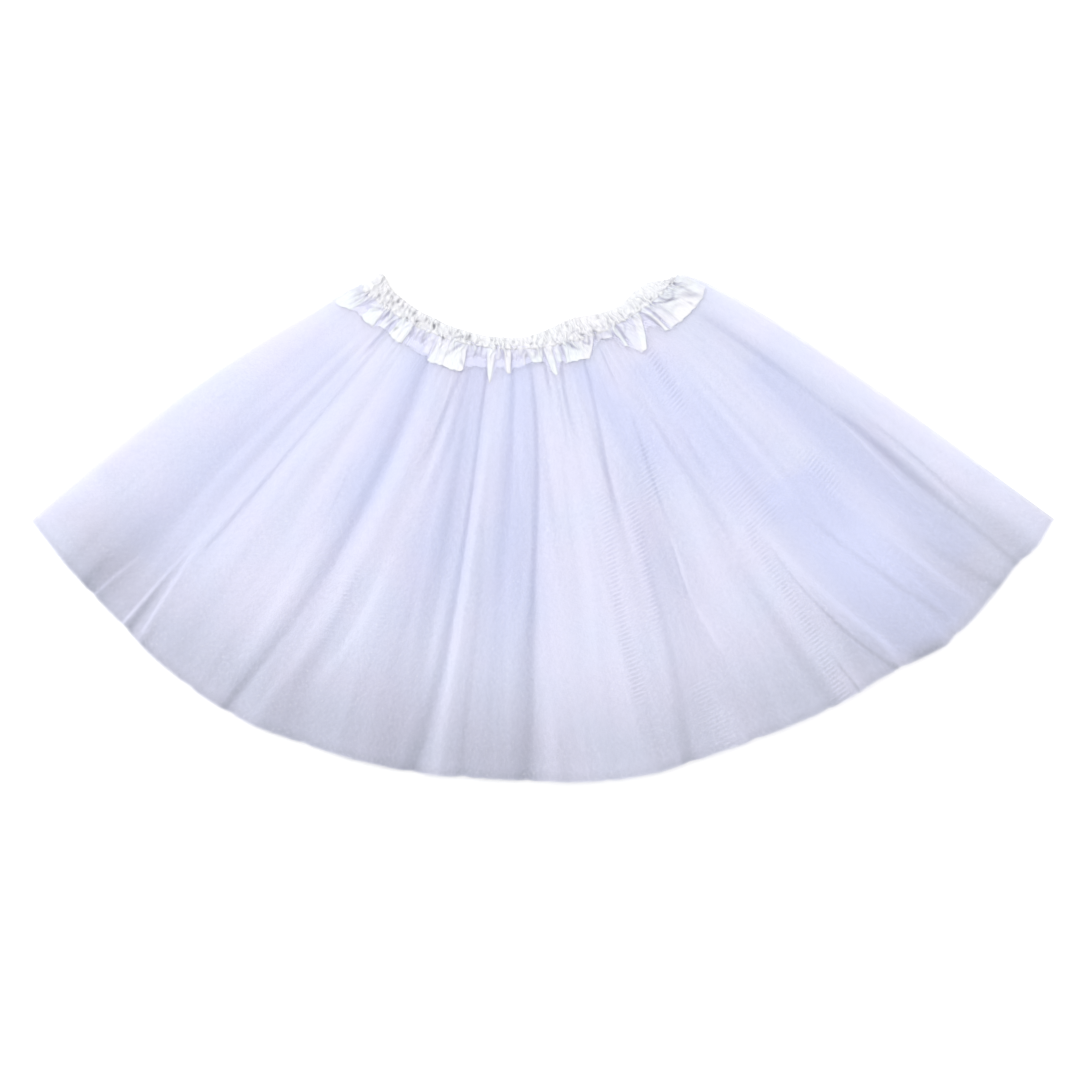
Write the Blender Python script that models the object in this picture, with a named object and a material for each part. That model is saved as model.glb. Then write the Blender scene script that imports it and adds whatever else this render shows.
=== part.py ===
"""A child's ballet tutu in three layers of gathered tulle on a ruched satin waistband, laid flat.

The tutu lies on its back on a level surface, fanned out as a wide ring sector. +X runs across it to the
right, +Y towards the waistband and +Z up. The origin is the middle of its outline, on the surface.

Every piece is one closed tube of cloth that has been pressed flat: a front wall, a folded side, a back
wall and the other folded side. The tubes lie one inside the next, a seam gap apart. Each one is a loft
whose rows run from the waist to the free edge.
"""

import math

import bpy
import numpy as np

# Cloth and clearances, in metres.
TULLE_WALL = 0.0011
SEAM_GAP = 0.0003
CLOSED_WAIST = 0.0005  # what is left open between the innermost front and back walls
CASING_TOP_WALL = 0.0030  # satin gathered over the elastic, at the waist edge
CASING_SEAM_WALL = 0.0053  # the same at the stitched edge, where the gathers are bulkiest

# The waistband is an arc of a circle. Angles are from straight down, positive to the right.
WAIST_CENTRE = (-0.0185, 0.2712)
WAIST_RADIUS = 0.1396
CASING_DEPTH = 0.0100
CASING_LEFT, CASING_RIGHT = math.radians(-43.0), math.radians(46.5)

# Where its waist edge strays from that circle: (angle of the middle, half the width, reach outwards).
WAIST_WAVES = (
    (math.radians(-43.0), math.radians(7.0), -0.0050),
    (math.radians(-35.0), math.radians(6.0), -0.0010),
    (math.radians(-5.0), math.radians(26.0), 0.0026),
    (math.radians(16.0), math.radians(14.0), -0.0044),
    (math.radians(38.0), math.radians(8.0), -0.0022),
    (math.radians(49.0), math.radians(8.0), 0.0080),
)

# The tulle spreads from the stitched edge of the casing to the hem, which is an arc of its own circle.
TULLE_LEFT, TULLE_RIGHT = math.radians(-44.5), math.radians(47.8)
HEM_CENTRE = (-0.0040, 0.2578)
HEM_RADIUS = 0.4278
HEM_LEFT, HEM_RIGHT = math.radians(-53.3), math.radians(54.1)
TULLE_LENGTH = 0.285
LEFT_BOW, RIGHT_BOW = 0.0098, 0.0088  # how far each side edge bows outwards
RIGHT_BOW_SKEW = 0.6  # below 1, the right edge bows most nearer the waist than its middle
BOW_POWER = 4  # how quickly the bow dies away from the side edge: higher is quicker
LAYER_STEP = 0.006  # each inner layer ends this share of the length short of the one around it

# How far each place along the hem stands beyond the hem circle: (share from the left, reach).
HEM_REACH = (
    (0.000, -0.0033),
    (0.060, -0.0030),
    (0.110, -0.0015),
    (0.150, 0.0025),
    (0.200, 0.0058),
    (0.250, 0.0068),
    (0.310, 0.0038),
    (0.390, 0.0024),
    (0.450, -0.0003),
    (0.505, 0.0002),
    (0.555, 0.0030),
    (0.600, 0.0020),
    (0.650, -0.0010),
    (0.700, -0.0018),
    (0.757, -0.0001),
    (0.800, -0.0010),
    (0.825, 0.0015),
    (0.865, 0.0072),
    (0.900, 0.0057),
    (0.950, 0.0016),
    (0.980, 0.0045),
    (1.000, 0.0030),
)

# The main folds of the front, from left to right. A row is a ridge and the trough on its right:
# (crest share at the waist, at the hem, crest height, trough share at the waist, at the hem, trough height).
FRONT_FOLDS = (
    (0.045, 0.045, 0.0022, 0.085, 0.078, 0.0010),
    (0.110, 0.100, 0.0030, 0.140, 0.118, 0.0006),
    (0.178, 0.155, 0.0042, 0.212, 0.190, 0.0020),
    (0.240, 0.212, 0.0040, 0.270, 0.231, 0.0004),
    (0.326, 0.256, 0.0056, 0.348, 0.299, 0.0014),
    (0.380, 0.352, 0.0060, 0.404, 0.391, 0.0000),
    (0.440, 0.407, 0.0055, 0.468, 0.434, 0.0014),
    (0.494, 0.462, 0.0050, 0.520, 0.488, 0.0000),
    (0.552, 0.525, 0.0058, 0.578, 0.556, 0.0020),
    (0.612, 0.582, 0.0048, 0.652, 0.626, 0.0008),
    (0.690, 0.654, 0.0050, 0.714, 0.686, 0.0018),
    (0.744, 0.722, 0.0052, 0.768, 0.752, 0.0018),
    (0.792, 0.788, 0.0058, 0.812, 0.823, 0.0014),
    (0.838, 0.850, 0.0054, 0.858, 0.876, 0.0014),
    (0.905, 0.916, 0.0056, 0.946, 0.960, 0.0004),
    (0.976, 0.978, 0.0026, 1.000, 1.000, 0.0000),
)
MIDDLE_RISE, INNER_RISE = 0.66, 0.33  # the share of each fold's height that the layers beneath it take

# The free edge of the satin frill, from left to right: (share, length from the stitching, height).
FRILL_FLARES = (
    (0.000, 0.0174, 0.0000),
    (0.044, 0.0134, 0.0010),
    (0.085, 0.0152, 0.0022),
    (0.125, 0.0114, 0.0008),
    (0.167, 0.0144, 0.0030),
    (0.205, 0.0134, 0.0010),
    (0.245, 0.0150, 0.0014),
    (0.282, 0.0176, 0.0026),
    (0.305, 0.0170, 0.0010),
    (0.330, 0.0180, 0.0032),
    (0.372, 0.0132, 0.0006),
    (0.421, 0.0218, 0.0030),
    (0.440, 0.0122, 0.0008),
    (0.466, 0.0154, 0.0028),
    (0.505, 0.0106, 0.0006),
    (0.540, 0.0092, 0.0024),
    (0.578, 0.0182, 0.0030),
    (0.604, 0.0108, 0.0008),
    (0.645, 0.0124, 0.0032),
    (0.700, 0.0070, 0.0010),
    (0.745, 0.0062, 0.0014),
    (0.790, 0.0222, 0.0034),
    (0.840, 0.0112, 0.0010),
    (0.880, 0.0198, 0.0024),
    (0.930, 0.0204, 0.0032),
    (0.975, 0.0194, 0.0014),
    (1.000, 0.0174, 0.0000),
)

# Lofting.
TULLE_ROWS = (0.0, 0.09, 0.16, 0.3, 0.5, 0.75, 1.0)  # shares of the length, from the waist
CASING_ROWS = (0.0, 0.45, 1.0)
FRILL_ROWS = (0.0, 0.5, 1.0)
FRILL_COVER = 0.09  # the frill lies on the tulle down to this share of its length
DROP_END = 0.16  # past the frill the tulle's back wall comes down onto the surface by this share
FOLDS_FULL = 0.6  # the folds have their whole height from this share on
BACK_COLUMNS = 20
SIDE_STEPS = 6  # straight runs round each folded side
EDGE_STEP = 0.01  # share of the depth over which a side edge's direction is taken
INSET_POWER = 6  # how quickly the inset of the folded sides dies away from the side edge
CASING_COLUMNS = 36
PUCKER_HEIGHT = 0.0007
PUCKER_REACH = 0.0008
PUCKER_MEAN, PUCKER_SWING, PUCKER_TURN = 0.75, 0.25, 2.4  # no pucker is quite the size of its neighbours

# Colour and roughness of each cloth.
FINISHES = {
    "satin_casing": ((0.94, 0.94, 0.96), 0.30),
    "satin_frill": ((0.93, 0.93, 0.96), 0.32),
    "tulle_outer": ((0.87, 0.88, 0.95), 0.80),
    "tulle_middle": ((0.84, 0.86, 0.94), 0.80),
    "tulle_inner": ((0.81, 0.83, 0.93), 0.80),
}

# Half the thickness of each flattened tube, from the innermost out.
INNER_HALF = CLOSED_WAIST / 2 + TULLE_WALL
MIDDLE_HALF = INNER_HALF + SEAM_GAP + TULLE_WALL
OUTER_HALF = MIDDLE_HALF + SEAM_GAP + TULLE_WALL
FRILL_HALF = OUTER_HALF + SEAM_GAP + TULLE_WALL


def ease(value):
    """A smooth step from 0 to 1, level at both ends."""
    value = np.clip(value, 0.0, 1.0)
    return value * value * (3.0 - 2.0 * value)


def arc_point(centre, radius, angle):
    """Points in plan at these angles from straight down on a circle, one row of x and y for each."""
    return np.stack([centre[0] + radius * np.sin(angle), centre[1] - radius * np.cos(angle)], axis=-1)


def tulle_plan(share, depth):
    """Points of the fan in plan: share runs along it from the left, depth from the waist seam to the hem.

    A straight line joins each place on the seam's arc to the place with the same share on the hem. The
    lines near either side edge bow outwards.
    """
    share = np.asarray(share, dtype=float)
    depth = np.broadcast_to(depth, share.shape)[..., None]
    seam_radius = WAIST_RADIUS + CASING_DEPTH + SEAM_GAP
    waist = arc_point(WAIST_CENTRE, seam_radius, TULLE_LEFT + (TULLE_RIGHT - TULLE_LEFT) * share)
    reach_share, reach = np.array(HEM_REACH).T
    hem_radius = HEM_RADIUS + np.interp(share, reach_share, reach)
    hem = arc_point(HEM_CENTRE, hem_radius, HEM_LEFT + (HEM_RIGHT - HEM_LEFT) * share)
    run = hem - waist
    left = np.stack([run[..., 1], -run[..., 0]], axis=-1) / np.linalg.norm(run, axis=-1, keepdims=True)
    left_bow = LEFT_BOW * ((1.0 - share) ** BOW_POWER)[..., None] * np.sin(math.pi * depth)
    right_bow = RIGHT_BOW * (share**BOW_POWER)[..., None] * np.sin(math.pi * depth**RIGHT_BOW_SKEW)
    return waist + run * depth + left * (left_bow - right_bow)


def casing_plan(share, depth):
    """Points of the waistband in plan: depth runs from the waist edge to the stitched edge."""
    angle = CASING_LEFT + (CASING_RIGHT - CASING_LEFT) * np.asarray(share, dtype=float)
    reach = np.zeros_like(angle)
    for middle, half_width, height in WAIST_WAVES:
        reach += height * ease(1.0 - np.abs(angle - middle) / half_width)
    return arc_point(WAIST_CENTRE, WAIST_RADIUS + reach * (1.0 - depth) + CASING_DEPTH * depth, angle)


def side_normal(plan, share, depth):
    """The level direction that points out of the fan at one of its side edges."""
    middle_share = 0.5
    share = np.array([share, share, middle_share])
    depths = np.array([depth, depth + EDGE_STEP, depth])
    edge, further, middle = plan(share, depths)
    run = further - edge
    normal = np.array([run[1], -run[0]]) / np.linalg.norm(run)
    return normal if normal @ (edge - middle) > 0 else -normal


def section(plan, depths, shares, rise, half, inset, centre_height):
    """One closed loop of points round a flattened tube: front, right side, back and left side.

    plan gives places in plan, and depths and shares hold one value for each column of the front. rise is
    how far each of those columns stands above the flat. half is half the tube's thickness here, inset is
    how far the centres of the folded sides lie inside the outline, and centre_height is the height of
    those centres.
    """
    left, right = side_normal(plan, 0.0, depths[0]), side_normal(plan, 1.0, depths[-1])

    def flat(share, depth):
        near_left, near_right = (1.0 - share[:, None]) ** INSET_POWER, share[:, None] ** INSET_POWER
        return plan(share, depth) - inset * (left * near_left + right * near_right)

    front = np.column_stack([flat(shares, depths), centre_height + half + rise])
    back_shares = np.linspace(1.0, 0.0, BACK_COLUMNS)
    back_depths = np.interp(back_shares, shares, depths)
    back = np.column_stack([flat(back_shares, back_depths), np.full(BACK_COLUMNS, centre_height - half)])
    turn = np.linspace(math.pi / 2, -math.pi / 2, SIDE_STEPS + 1)[1:-1]

    def folded_side(middle, normal, angles):
        places = middle + half * np.cos(angles)[:, None] * normal
        return np.column_stack([places, centre_height + half * np.sin(angles)])

    right_side = folded_side(front[-1, :2], right, turn)
    left_side = folded_side(front[0, :2], left, turn[::-1])
    return np.concatenate([front, right_side, back, left_side])


def skin_faces(rows, loop, start, outwards):
    """Triangles between neighbouring loops of one skin, all cut along the same diagonal."""
    i, j = np.meshgrid(np.arange(rows - 1), np.arange(loop), indexing="ij")
    a = start + i * loop + j
    b = start + (i + 1) * loop + j
    c = start + (i + 1) * loop + (j + 1) % loop
    d = start + i * loop + (j + 1) % loop
    faces = np.concatenate([np.stack([a, b, c], -1), np.stack([a, c, d], -1)]).reshape(-1, 3)
    return faces if outwards else faces[:, ::-1]


def rim_faces(outer, inner, loop, outwards):
    """Triangles of the rim between an outer and an inner loop, given the number of each one's first point."""
    j = np.arange(loop)
    k = (j + 1) % loop
    faces = np.concatenate(
        [
            np.stack([outer + j, outer + k, inner + k], -1),
            np.stack([outer + j, inner + k, inner + j], -1),
        ]
    )
    return faces if outwards else faces[:, ::-1]


def tube(name, outer, inner, material, collection):
    """Makes the wall between two lofted skins into one closed object. Both are rows by loop by 3."""
    rows, loop = outer.shape[:2]
    inner_start = rows * loop
    last = (rows - 1) * loop
    faces = np.concatenate(
        [
            skin_faces(rows, loop, 0, True),
            skin_faces(rows, loop, inner_start, False),
            rim_faces(0, inner_start, loop, True),
            rim_faces(last, inner_start + last, loop, False),
        ]
    )
    points = np.concatenate([outer.reshape(-1, 3), inner.reshape(-1, 3)])
    mesh = bpy.data.meshes.new(name)
    mesh.from_pydata(points.tolist(), [], faces.tolist())
    mesh.materials.append(material)
    piece = bpy.data.objects.new(name, mesh)
    collection.objects.link(piece)
    return piece


def fold_columns(depth):
    """Shares and heights of the front's columns at this depth: each foot, rise, crest and fall."""
    crest_waist, crest_hem, crest_height, foot_waist, foot_hem, foot_height = np.array(FRONT_FOLDS).T
    crest = crest_waist + (crest_hem - crest_waist) * depth
    foot = foot_waist + (foot_hem - foot_waist) * depth
    shares, heights = np.zeros(2 * len(crest) + 1), np.zeros(2 * len(crest) + 1)
    shares[1::2], shares[2::2] = crest, foot
    heights[1::2], heights[2::2] = crest_height, foot_height
    places = np.arange(4 * len(crest) + 1) / 2
    known = np.arange(len(shares))
    growth = ease((depth - FRILL_COVER) / (FOLDS_FULL - FRILL_COVER))
    return np.interp(places, known, shares), np.interp(places, known, heights) * growth


def tulle_layer(name, half, rise_share, order, material, collection):
    """One tube of tulle. order counts the layers from the outermost, which is 0."""
    outer, inner = [], []
    for row in TULLE_ROWS:
        shares, heights = fold_columns(row)
        dropped = ease((row - FRILL_COVER) / (DROP_END - FRILL_COVER))
        lifted = (SEAM_GAP + TULLE_WALL) * (1.0 - dropped)
        depths = np.full(len(shares), row * (1.0 - LAYER_STEP * order))
        for skin, radius in ((outer, half), (inner, half - TULLE_WALL)):
            loop = section(
                tulle_plan, depths, shares, heights * rise_share, radius, OUTER_HALF, OUTER_HALF + lifted
            )
            skin.append(loop)
    return tube(name, np.array(outer), np.array(inner), material, collection)


def waistband_frill(material, collection):
    """The free lower edge of the satin, which flares over the tulle in front and lies flat behind."""
    share, length, height = np.array(FRILL_FLARES).T
    columns = np.arange(2 * len(share) - 1) / 2
    known = np.arange(len(share))
    shares, lengths, heights = (np.interp(columns, known, values) for values in (share, length, height))
    outer, inner = [], []
    for row in FRILL_ROWS:
        for skin, radius in ((outer, FRILL_HALF), (inner, FRILL_HALF - TULLE_WALL)):
            depths = row * lengths / TULLE_LENGTH
            loop = section(tulle_plan, depths, shares, heights * row, radius, OUTER_HALF, FRILL_HALF)
            skin.append(loop)
    return tube("waistband_frill", np.array(outer), np.array(inner), material, collection)


def waistband_casing(material, collection):
    """The satin ruched over the elastic: two thick walls, puckered in front, with the waist closed flat."""
    shares = np.linspace(0.0, 1.0, CASING_COLUMNS + 1)
    order = np.arange(CASING_COLUMNS + 1)
    ridge = (order % 2) * (PUCKER_MEAN + PUCKER_SWING * np.sin(PUCKER_TURN * order))
    outer, inner = [], []
    for row in CASING_ROWS:
        wall = CASING_TOP_WALL + (CASING_SEAM_WALL - CASING_TOP_WALL) * ease(row)
        half = CLOSED_WAIST / 2 + wall
        depths = row - ridge * PUCKER_REACH / CASING_DEPTH * (1.0 - row)
        for skin, radius, rise in ((outer, half, ridge * PUCKER_HEIGHT), (inner, half - wall, 0.0 * ridge)):
            skin.append(section(casing_plan, depths, shares, rise, radius, half, half))
    return tube("waistband_casing", np.array(outer), np.array(inner), material, collection)


def cloth_material(name):
    """A plain cloth finish with the colour and roughness listed for this name."""
    colour, roughness = FINISHES[name]
    material = bpy.data.materials.new(name)
    material.use_nodes = True
    shader = material.node_tree.nodes["Principled BSDF"]
    shader.inputs["Base Color"].default_value = (*colour, 1.0)
    shader.inputs["Roughness"].default_value = roughness
    shader.inputs["Metallic"].default_value = 0.0
    return material


def main():
    """Builds the waistband and the three layers of tulle in an empty scene."""
    for item in list(bpy.data.objects):
        bpy.data.objects.remove(item)
    collection = bpy.data.collections.new("ballet_tutu")
    bpy.context.scene.collection.children.link(collection)
    waistband_casing(cloth_material("satin_casing"), collection)
    waistband_frill(cloth_material("satin_frill"), collection)
    layers = (
        ("tulle_outer", OUTER_HALF, 1.0),
        ("tulle_middle", MIDDLE_HALF, MIDDLE_RISE),
        ("tulle_inner", INNER_HALF, INNER_RISE),
    )
    for order, (name, half, rise_share) in enumerate(layers):
        tulle_layer(name, half, rise_share, order, cloth_material(name), collection)


main()
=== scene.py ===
"""A child's ballet tutu laid flat: three layers of gathered tulle on a ruched satin waistband.

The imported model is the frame. Each of its five solids is stood for by a thin shell of cloth that follows it,
and the tubes lie one inside the next, as they do in the frame. Every length is in metres. Over the fan, share
runs from its left side, 0, to its right side, 1, and depth runs from the waist seam, 0, to the hem, 1.
"""

import logging
import math
from collections.abc import Callable
from dataclasses import dataclass
from enum import Enum
from typing import ClassVar, Self, TypeVar

import bpy
import numpy as np
from numpy.polynomial import Polynomial
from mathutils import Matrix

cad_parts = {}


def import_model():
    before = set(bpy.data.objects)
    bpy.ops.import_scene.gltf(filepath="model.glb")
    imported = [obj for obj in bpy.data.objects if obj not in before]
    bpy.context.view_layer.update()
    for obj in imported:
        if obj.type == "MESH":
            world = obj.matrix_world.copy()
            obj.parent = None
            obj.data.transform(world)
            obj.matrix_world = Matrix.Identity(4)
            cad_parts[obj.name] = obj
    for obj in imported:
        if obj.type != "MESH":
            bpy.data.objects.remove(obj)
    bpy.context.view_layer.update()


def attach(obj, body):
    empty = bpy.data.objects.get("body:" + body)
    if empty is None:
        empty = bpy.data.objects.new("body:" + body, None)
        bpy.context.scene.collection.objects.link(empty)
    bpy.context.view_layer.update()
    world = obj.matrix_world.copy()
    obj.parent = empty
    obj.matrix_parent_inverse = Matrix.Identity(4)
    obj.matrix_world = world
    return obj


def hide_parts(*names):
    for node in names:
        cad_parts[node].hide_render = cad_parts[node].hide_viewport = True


Array = np.ndarray
Number = Array | float
Pair = tuple[float, float]
Triple = tuple[float, float, float]
Colour = tuple[float, float, float]
Plan = Callable[[Number, Number], Array]
Kind = TypeVar("Kind")
LOG = logging.getLogger("tutu")
CLOTH_MAP = "cloth"
TURN = 2.0 * math.pi
MM = 0.001


def mix(first: Number, second: Number, part: Number) -> Array:
    """From first, where part is 0, in a straight line to second, where it is 1."""
    return first + (second - first) * part


def ease(value: Number, start: float = 0.0, end: float = 1.0) -> Array:
    """A smooth step from 0 at start to 1 at end, level at both: three squares less two cubes."""
    value = np.clip((value - start) / (end - start), 0.0, 1.0)
    return value * value * (3.0 - 2.0 * value)


def eases(value: Array, steps: tuple[Triple, ...]) -> Array:
    """A sum of smooth steps, each given as (height, start, end)."""
    return sum(height * ease(value, start, end) for height, start, end in steps)


def bell(off: Array, half: float) -> Array:
    """A bell curve: e to minus the square of off over half."""
    return np.exp(-((off / half) ** 2))


def wobble(value: Array, waves: tuple[Triple, ...]) -> Array:
    """A sum of sines, each given as (waves in one unit, start of its turn, height)."""
    return sum(height * np.sin(TURN * (count * value + start)) for count, start, height in waves)


def slanting(share: Array, along: Array, waves: tuple[Triple, ...]) -> Array:
    """A sum of sines at a slant, each (height, radians for each metre along, radians across the fan)."""
    return sum(height * np.sin(up * along + across * share) for height, up, across in waves)


def listed(kind: type[Kind], *rows: tuple) -> tuple[Kind, ...]:
    """One of this kind for each row of its values."""
    return tuple(kind(*row) for row in rows)


@dataclass(frozen=True)
class Fan:
    """The outline in plan: a ring sector between the waist seam and the hem, and the waistband above it.

    Angles are in degrees from straight down, positive to the right. The sides bow outwards, the right one
    more towards the waist. The waist edge strays from its circle by waist_waves, each (middle angle, half the
    width, reach outwards), and the hem from its own by hem_reach, each (share, reach).
    """

    waist_centre: Pair = (-0.0185, 0.2712)
    waist_radius: float = 0.1396
    casing_depth: float = 0.0100
    seam_gap: float = 0.0003
    casing_angles: Pair = (-43.0, 46.5)
    tulle_angles: Pair = (-44.5, 47.8)
    hem_centre: Pair = (-0.0040, 0.2578)
    hem_radius: float = 0.4278
    hem_angles: Pair = (-53.3, 54.1)
    left_bow: float = 0.0098
    right_bow: float = 0.0088
    right_bow_skew: float = 0.6
    bow_power: int = 4
    length: float = 0.285
    waist_waves: tuple[Triple, ...] = (
        (-43.0, 7.0, -0.0050), (-35.0, 6.0, -0.0010), (-5.0, 26.0, 0.0026), (16.0, 14.0, -0.0044),
        (38.0, 8.0, -0.0022), (49.0, 8.0, 0.0080),
    )
    hem_reach: tuple[Pair, ...] = (
        (0.000, -0.0033), (0.060, -0.0030), (0.110, -0.0015), (0.150, 0.0025), (0.200, 0.0058),
        (0.250, 0.0068), (0.310, 0.0038), (0.390, 0.0024), (0.450, -0.0003), (0.505, 0.0002), (0.555, 0.0030),
        (0.600, 0.0020), (0.650, -0.0010), (0.700, -0.0018), (0.757, -0.0001), (0.800, -0.0010),
        (0.825, 0.0015), (0.865, 0.0072), (0.900, 0.0057), (0.950, 0.0016), (0.980, 0.0045), (1.000, 0.0030),
    )

    @staticmethod
    def arc(centre: Pair, radius: Number, degrees: Array) -> Array:
        """Points on a circle: the centre, plus the radius times the sine across and less its cosine up.

        Args:
            centre: The circle's centre.
            radius: Its radius, which may differ from point to point.
            degrees: The angle of each point from straight down.

        Returns:
            The points, with x and y on the last axis.
        """
        angle = np.radians(degrees)
        x, y = centre[0] + radius * np.sin(angle), centre[1] - radius * np.cos(angle)
        return np.stack([x, y], axis=-1)

    def seam_radius(self) -> float:
        """The radius of the line where the tulle is stitched to the casing."""
        return self.waist_radius + self.casing_depth + self.seam_gap

    def width(self, depth: Number) -> Array:
        """How wide the fan is along its own arc, on a straight run from the seam's arc to the hem's.

        Args:
            depth: One depth or many.

        Returns:
            The width at each.
        """
        seam = self.seam_radius() * math.radians(self.tulle_angles[1] - self.tulle_angles[0])
        hem = self.hem_radius * math.radians(self.hem_angles[1] - self.hem_angles[0])
        return mix(seam, hem, depth)

    def tulle(self, share: Number, depth: Number) -> Array:
        """Points of the skirt in plan.

        A straight line joins each place on the seam's arc to the place with the same share on the hem, and
        lines near either side bow outwards by a half sine of the depth.

        Args:
            share: Where along the fan, from its left side.
            depth: How far from the seam to the hem.

        Returns:
            The points, with x and y on the last axis.
        """
        share, depth = np.broadcast_arrays(share, depth)
        waist = self.arc(self.waist_centre, self.seam_radius(), mix(*self.tulle_angles, share))
        places, reach = np.array(self.hem_reach).T
        radius = self.hem_radius + np.interp(share, places, reach)
        run = self.arc(self.hem_centre, radius, mix(*self.hem_angles, share)) - waist
        side = np.stack([run[..., 1], -run[..., 0]], axis=-1) / np.linalg.norm(run, axis=-1, keepdims=True)
        near = np.maximum(depth, 0.0)
        bow = self.left_bow * (1.0 - share) ** self.bow_power * np.sin(math.pi * near)
        bow -= self.right_bow * share**self.bow_power * np.sin(math.pi * near**self.right_bow_skew)
        return waist + run * depth[..., None] + side * bow[..., None]

    def casing_angle(self, share: Array) -> Array:
        """The angle of each share of the waistband."""
        return mix(*self.casing_angles, share)

    def above(self, share: Array, depth: Array) -> Array:
        """How far each place on the waistband is from its stitched edge, towards the waist.

        The band's depth at that share, which smooth bumps take from or add to, times what is left of depth.

        Args:
            share: Where along the band.
            depth: From its waist edge, 0, to its stitched edge, 1.

        Returns:
            The distance in metres.
        """
        angle = self.casing_angle(share)
        stray = sum(
            reach * ease(1.0 - np.abs(angle - middle) / half) for middle, half, reach in self.waist_waves
        )
        return (self.casing_depth - stray) * (1.0 - depth)

    def casing(self, share: Number, depth: Number) -> Array:
        """Points of the waistband in plan, on the waist's circle less how far above the stitching they are.

        Args:
            share: Where along the band.
            depth: From its waist edge, 0, to its stitched edge, 1.

        Returns:
            The points, with x and y on the last axis.
        """
        share, depth = np.broadcast_arrays(share, depth)
        radius = self.waist_radius + self.casing_depth - self.above(share, depth)
        return self.arc(self.waist_centre, radius, self.casing_angle(share))

    def seam_share(self, share: Array) -> Array:
        """The share along the skirt's seam that lies at the same angle as this share of the casing."""
        start, end = self.tulle_angles
        return (self.casing_angle(share) - start) / (end - start)


FAN = Fan()


@dataclass(frozen=True)
class Stack:
    """How the flattened tubes lie one in another, each with walls of cloth and a gap to the next.

    Closed_waist is the room left inside the innermost one. Between the depths in drop the tubes come down
    from under the frill onto the surface.
    """

    wall: float = 0.0011
    gap: float = 0.0003
    closed_waist: float = 0.0005
    innermost: int = 2
    drop: Pair = (0.09, 0.16)

    def step(self) -> float:
        """From the middle of one wall to the middle of the next."""
        return self.wall + self.gap

    def radius(self, order: int) -> float:
        """Half the thickness, at mid-wall, of the tube that has this many layers outside it."""
        return self.closed_waist / 2 + self.wall / 2 + (self.innermost - order) * self.step()

    def tulle_half(self) -> float:
        """Half the thickness of the outermost layer's tube, to its outside."""
        return self.radius(0) + self.wall / 2

    def centre(self, depth: Array) -> Array:
        """The height of the tubes' middle: raised under the frill, then down onto the surface."""
        return self.tulle_half() + self.step() * (1.0 - ease(depth, *self.drop))


STACK = Stack()


@dataclass(frozen=True)
class Cut:
    """The flat shape of a tube of cloth, opened along one side: a strip, or a part of a ring if it flares.

    Attributes:
        near: How long its near edge is, which is gathered.
        far: How long its far edge is.
        deep: How far apart they are.
    """

    near: float
    far: float
    deep: float

    def area(self) -> float:
        """Half of the two edges together, times the depth."""
        return 0.5 * (self.near + self.far) * self.deep

    def place(self, across: Array, down: Array) -> Array:
        """Where points are on the flat cloth.

        A strip's are its length and depth. On a ring the angle grows evenly across, by the difference between
        the edges over the depth, and the radius is what makes the near edge as long as it is.

        Args:
            across: Columns, from 0 to 1 along the edges.
            down: Rows, in metres from the near edge, as a column.

        Returns:
            Rows by columns by 2.
        """
        across, down = np.broadcast_arrays(across, down)
        spread = (self.far - self.near) / self.deep
        if spread == 0.0:
            return np.stack([across * self.near, -down], axis=-1)
        radius, angle = self.near / spread + down, spread * (across - 0.5)
        return np.stack([radius * np.sin(angle), -radius * np.cos(angle)], axis=-1)


@dataclass
class Surface:
    """A grid of points with what its cloth is given at each of them.

    The last column joins the first, so the grid is a tube, and each row of flat has one more place than there
    are columns.

    Attributes:
        points: Rows by columns by 3.
        flat: Where each point is on the flat cloth, rows by columns and one more by 2.
        values: Named numbers at each point, rows by columns.
    """

    points: Array
    flat: Array
    values: dict[str, Array]

    def build(self, name: str, material: bpy.types.Material) -> bpy.types.Object:
        """Makes the mesh: a quad between each four neighbours, wound so that it faces outwards.

        Args:
            name: The piece's name.
            material: Its finish.

        Returns:
            The new object, which lies at the origin.
        """
        rows, columns = self.points.shape[:2]
        i, j = np.meshgrid(np.arange(rows - 1), np.arange(columns), indexing="ij")
        corners = ((i, j), (i + 1, j), (i + 1, j + 1), (i, j + 1))
        quads = np.stack([row * columns + column % columns for row, column in corners], axis=-1)
        quads = quads.reshape(-1, 4)
        flat = np.stack([self.flat[row, column] for row, column in corners], axis=2)
        mesh = bpy.data.meshes.new(name)
        mesh.vertices.add(rows * columns)
        mesh.vertices.foreach_set("co", self.points.astype(np.float32).ravel())
        mesh.loops.add(quads.size)
        mesh.loops.foreach_set("vertex_index", quads.astype(np.int32).ravel())
        mesh.polygons.add(len(quads))
        mesh.polygons.foreach_set("loop_start", np.arange(0, quads.size, 4, dtype=np.int32))
        mesh.update(calc_edges=True)
        mesh.uv_layers.new(name=CLOTH_MAP).data.foreach_set("uv", flat.astype(np.float32).ravel())
        for key, value in self.values.items():
            attribute = mesh.attributes.new(key, "FLOAT", "POINT")
            attribute.data.foreach_set("value", value.astype(np.float32).ravel())
        mesh.shade_smooth()
        mesh.materials.append(material)
        piece = bpy.data.objects.new(name, mesh)
        bpy.context.scene.collection.objects.link(piece)
        return piece


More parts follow.
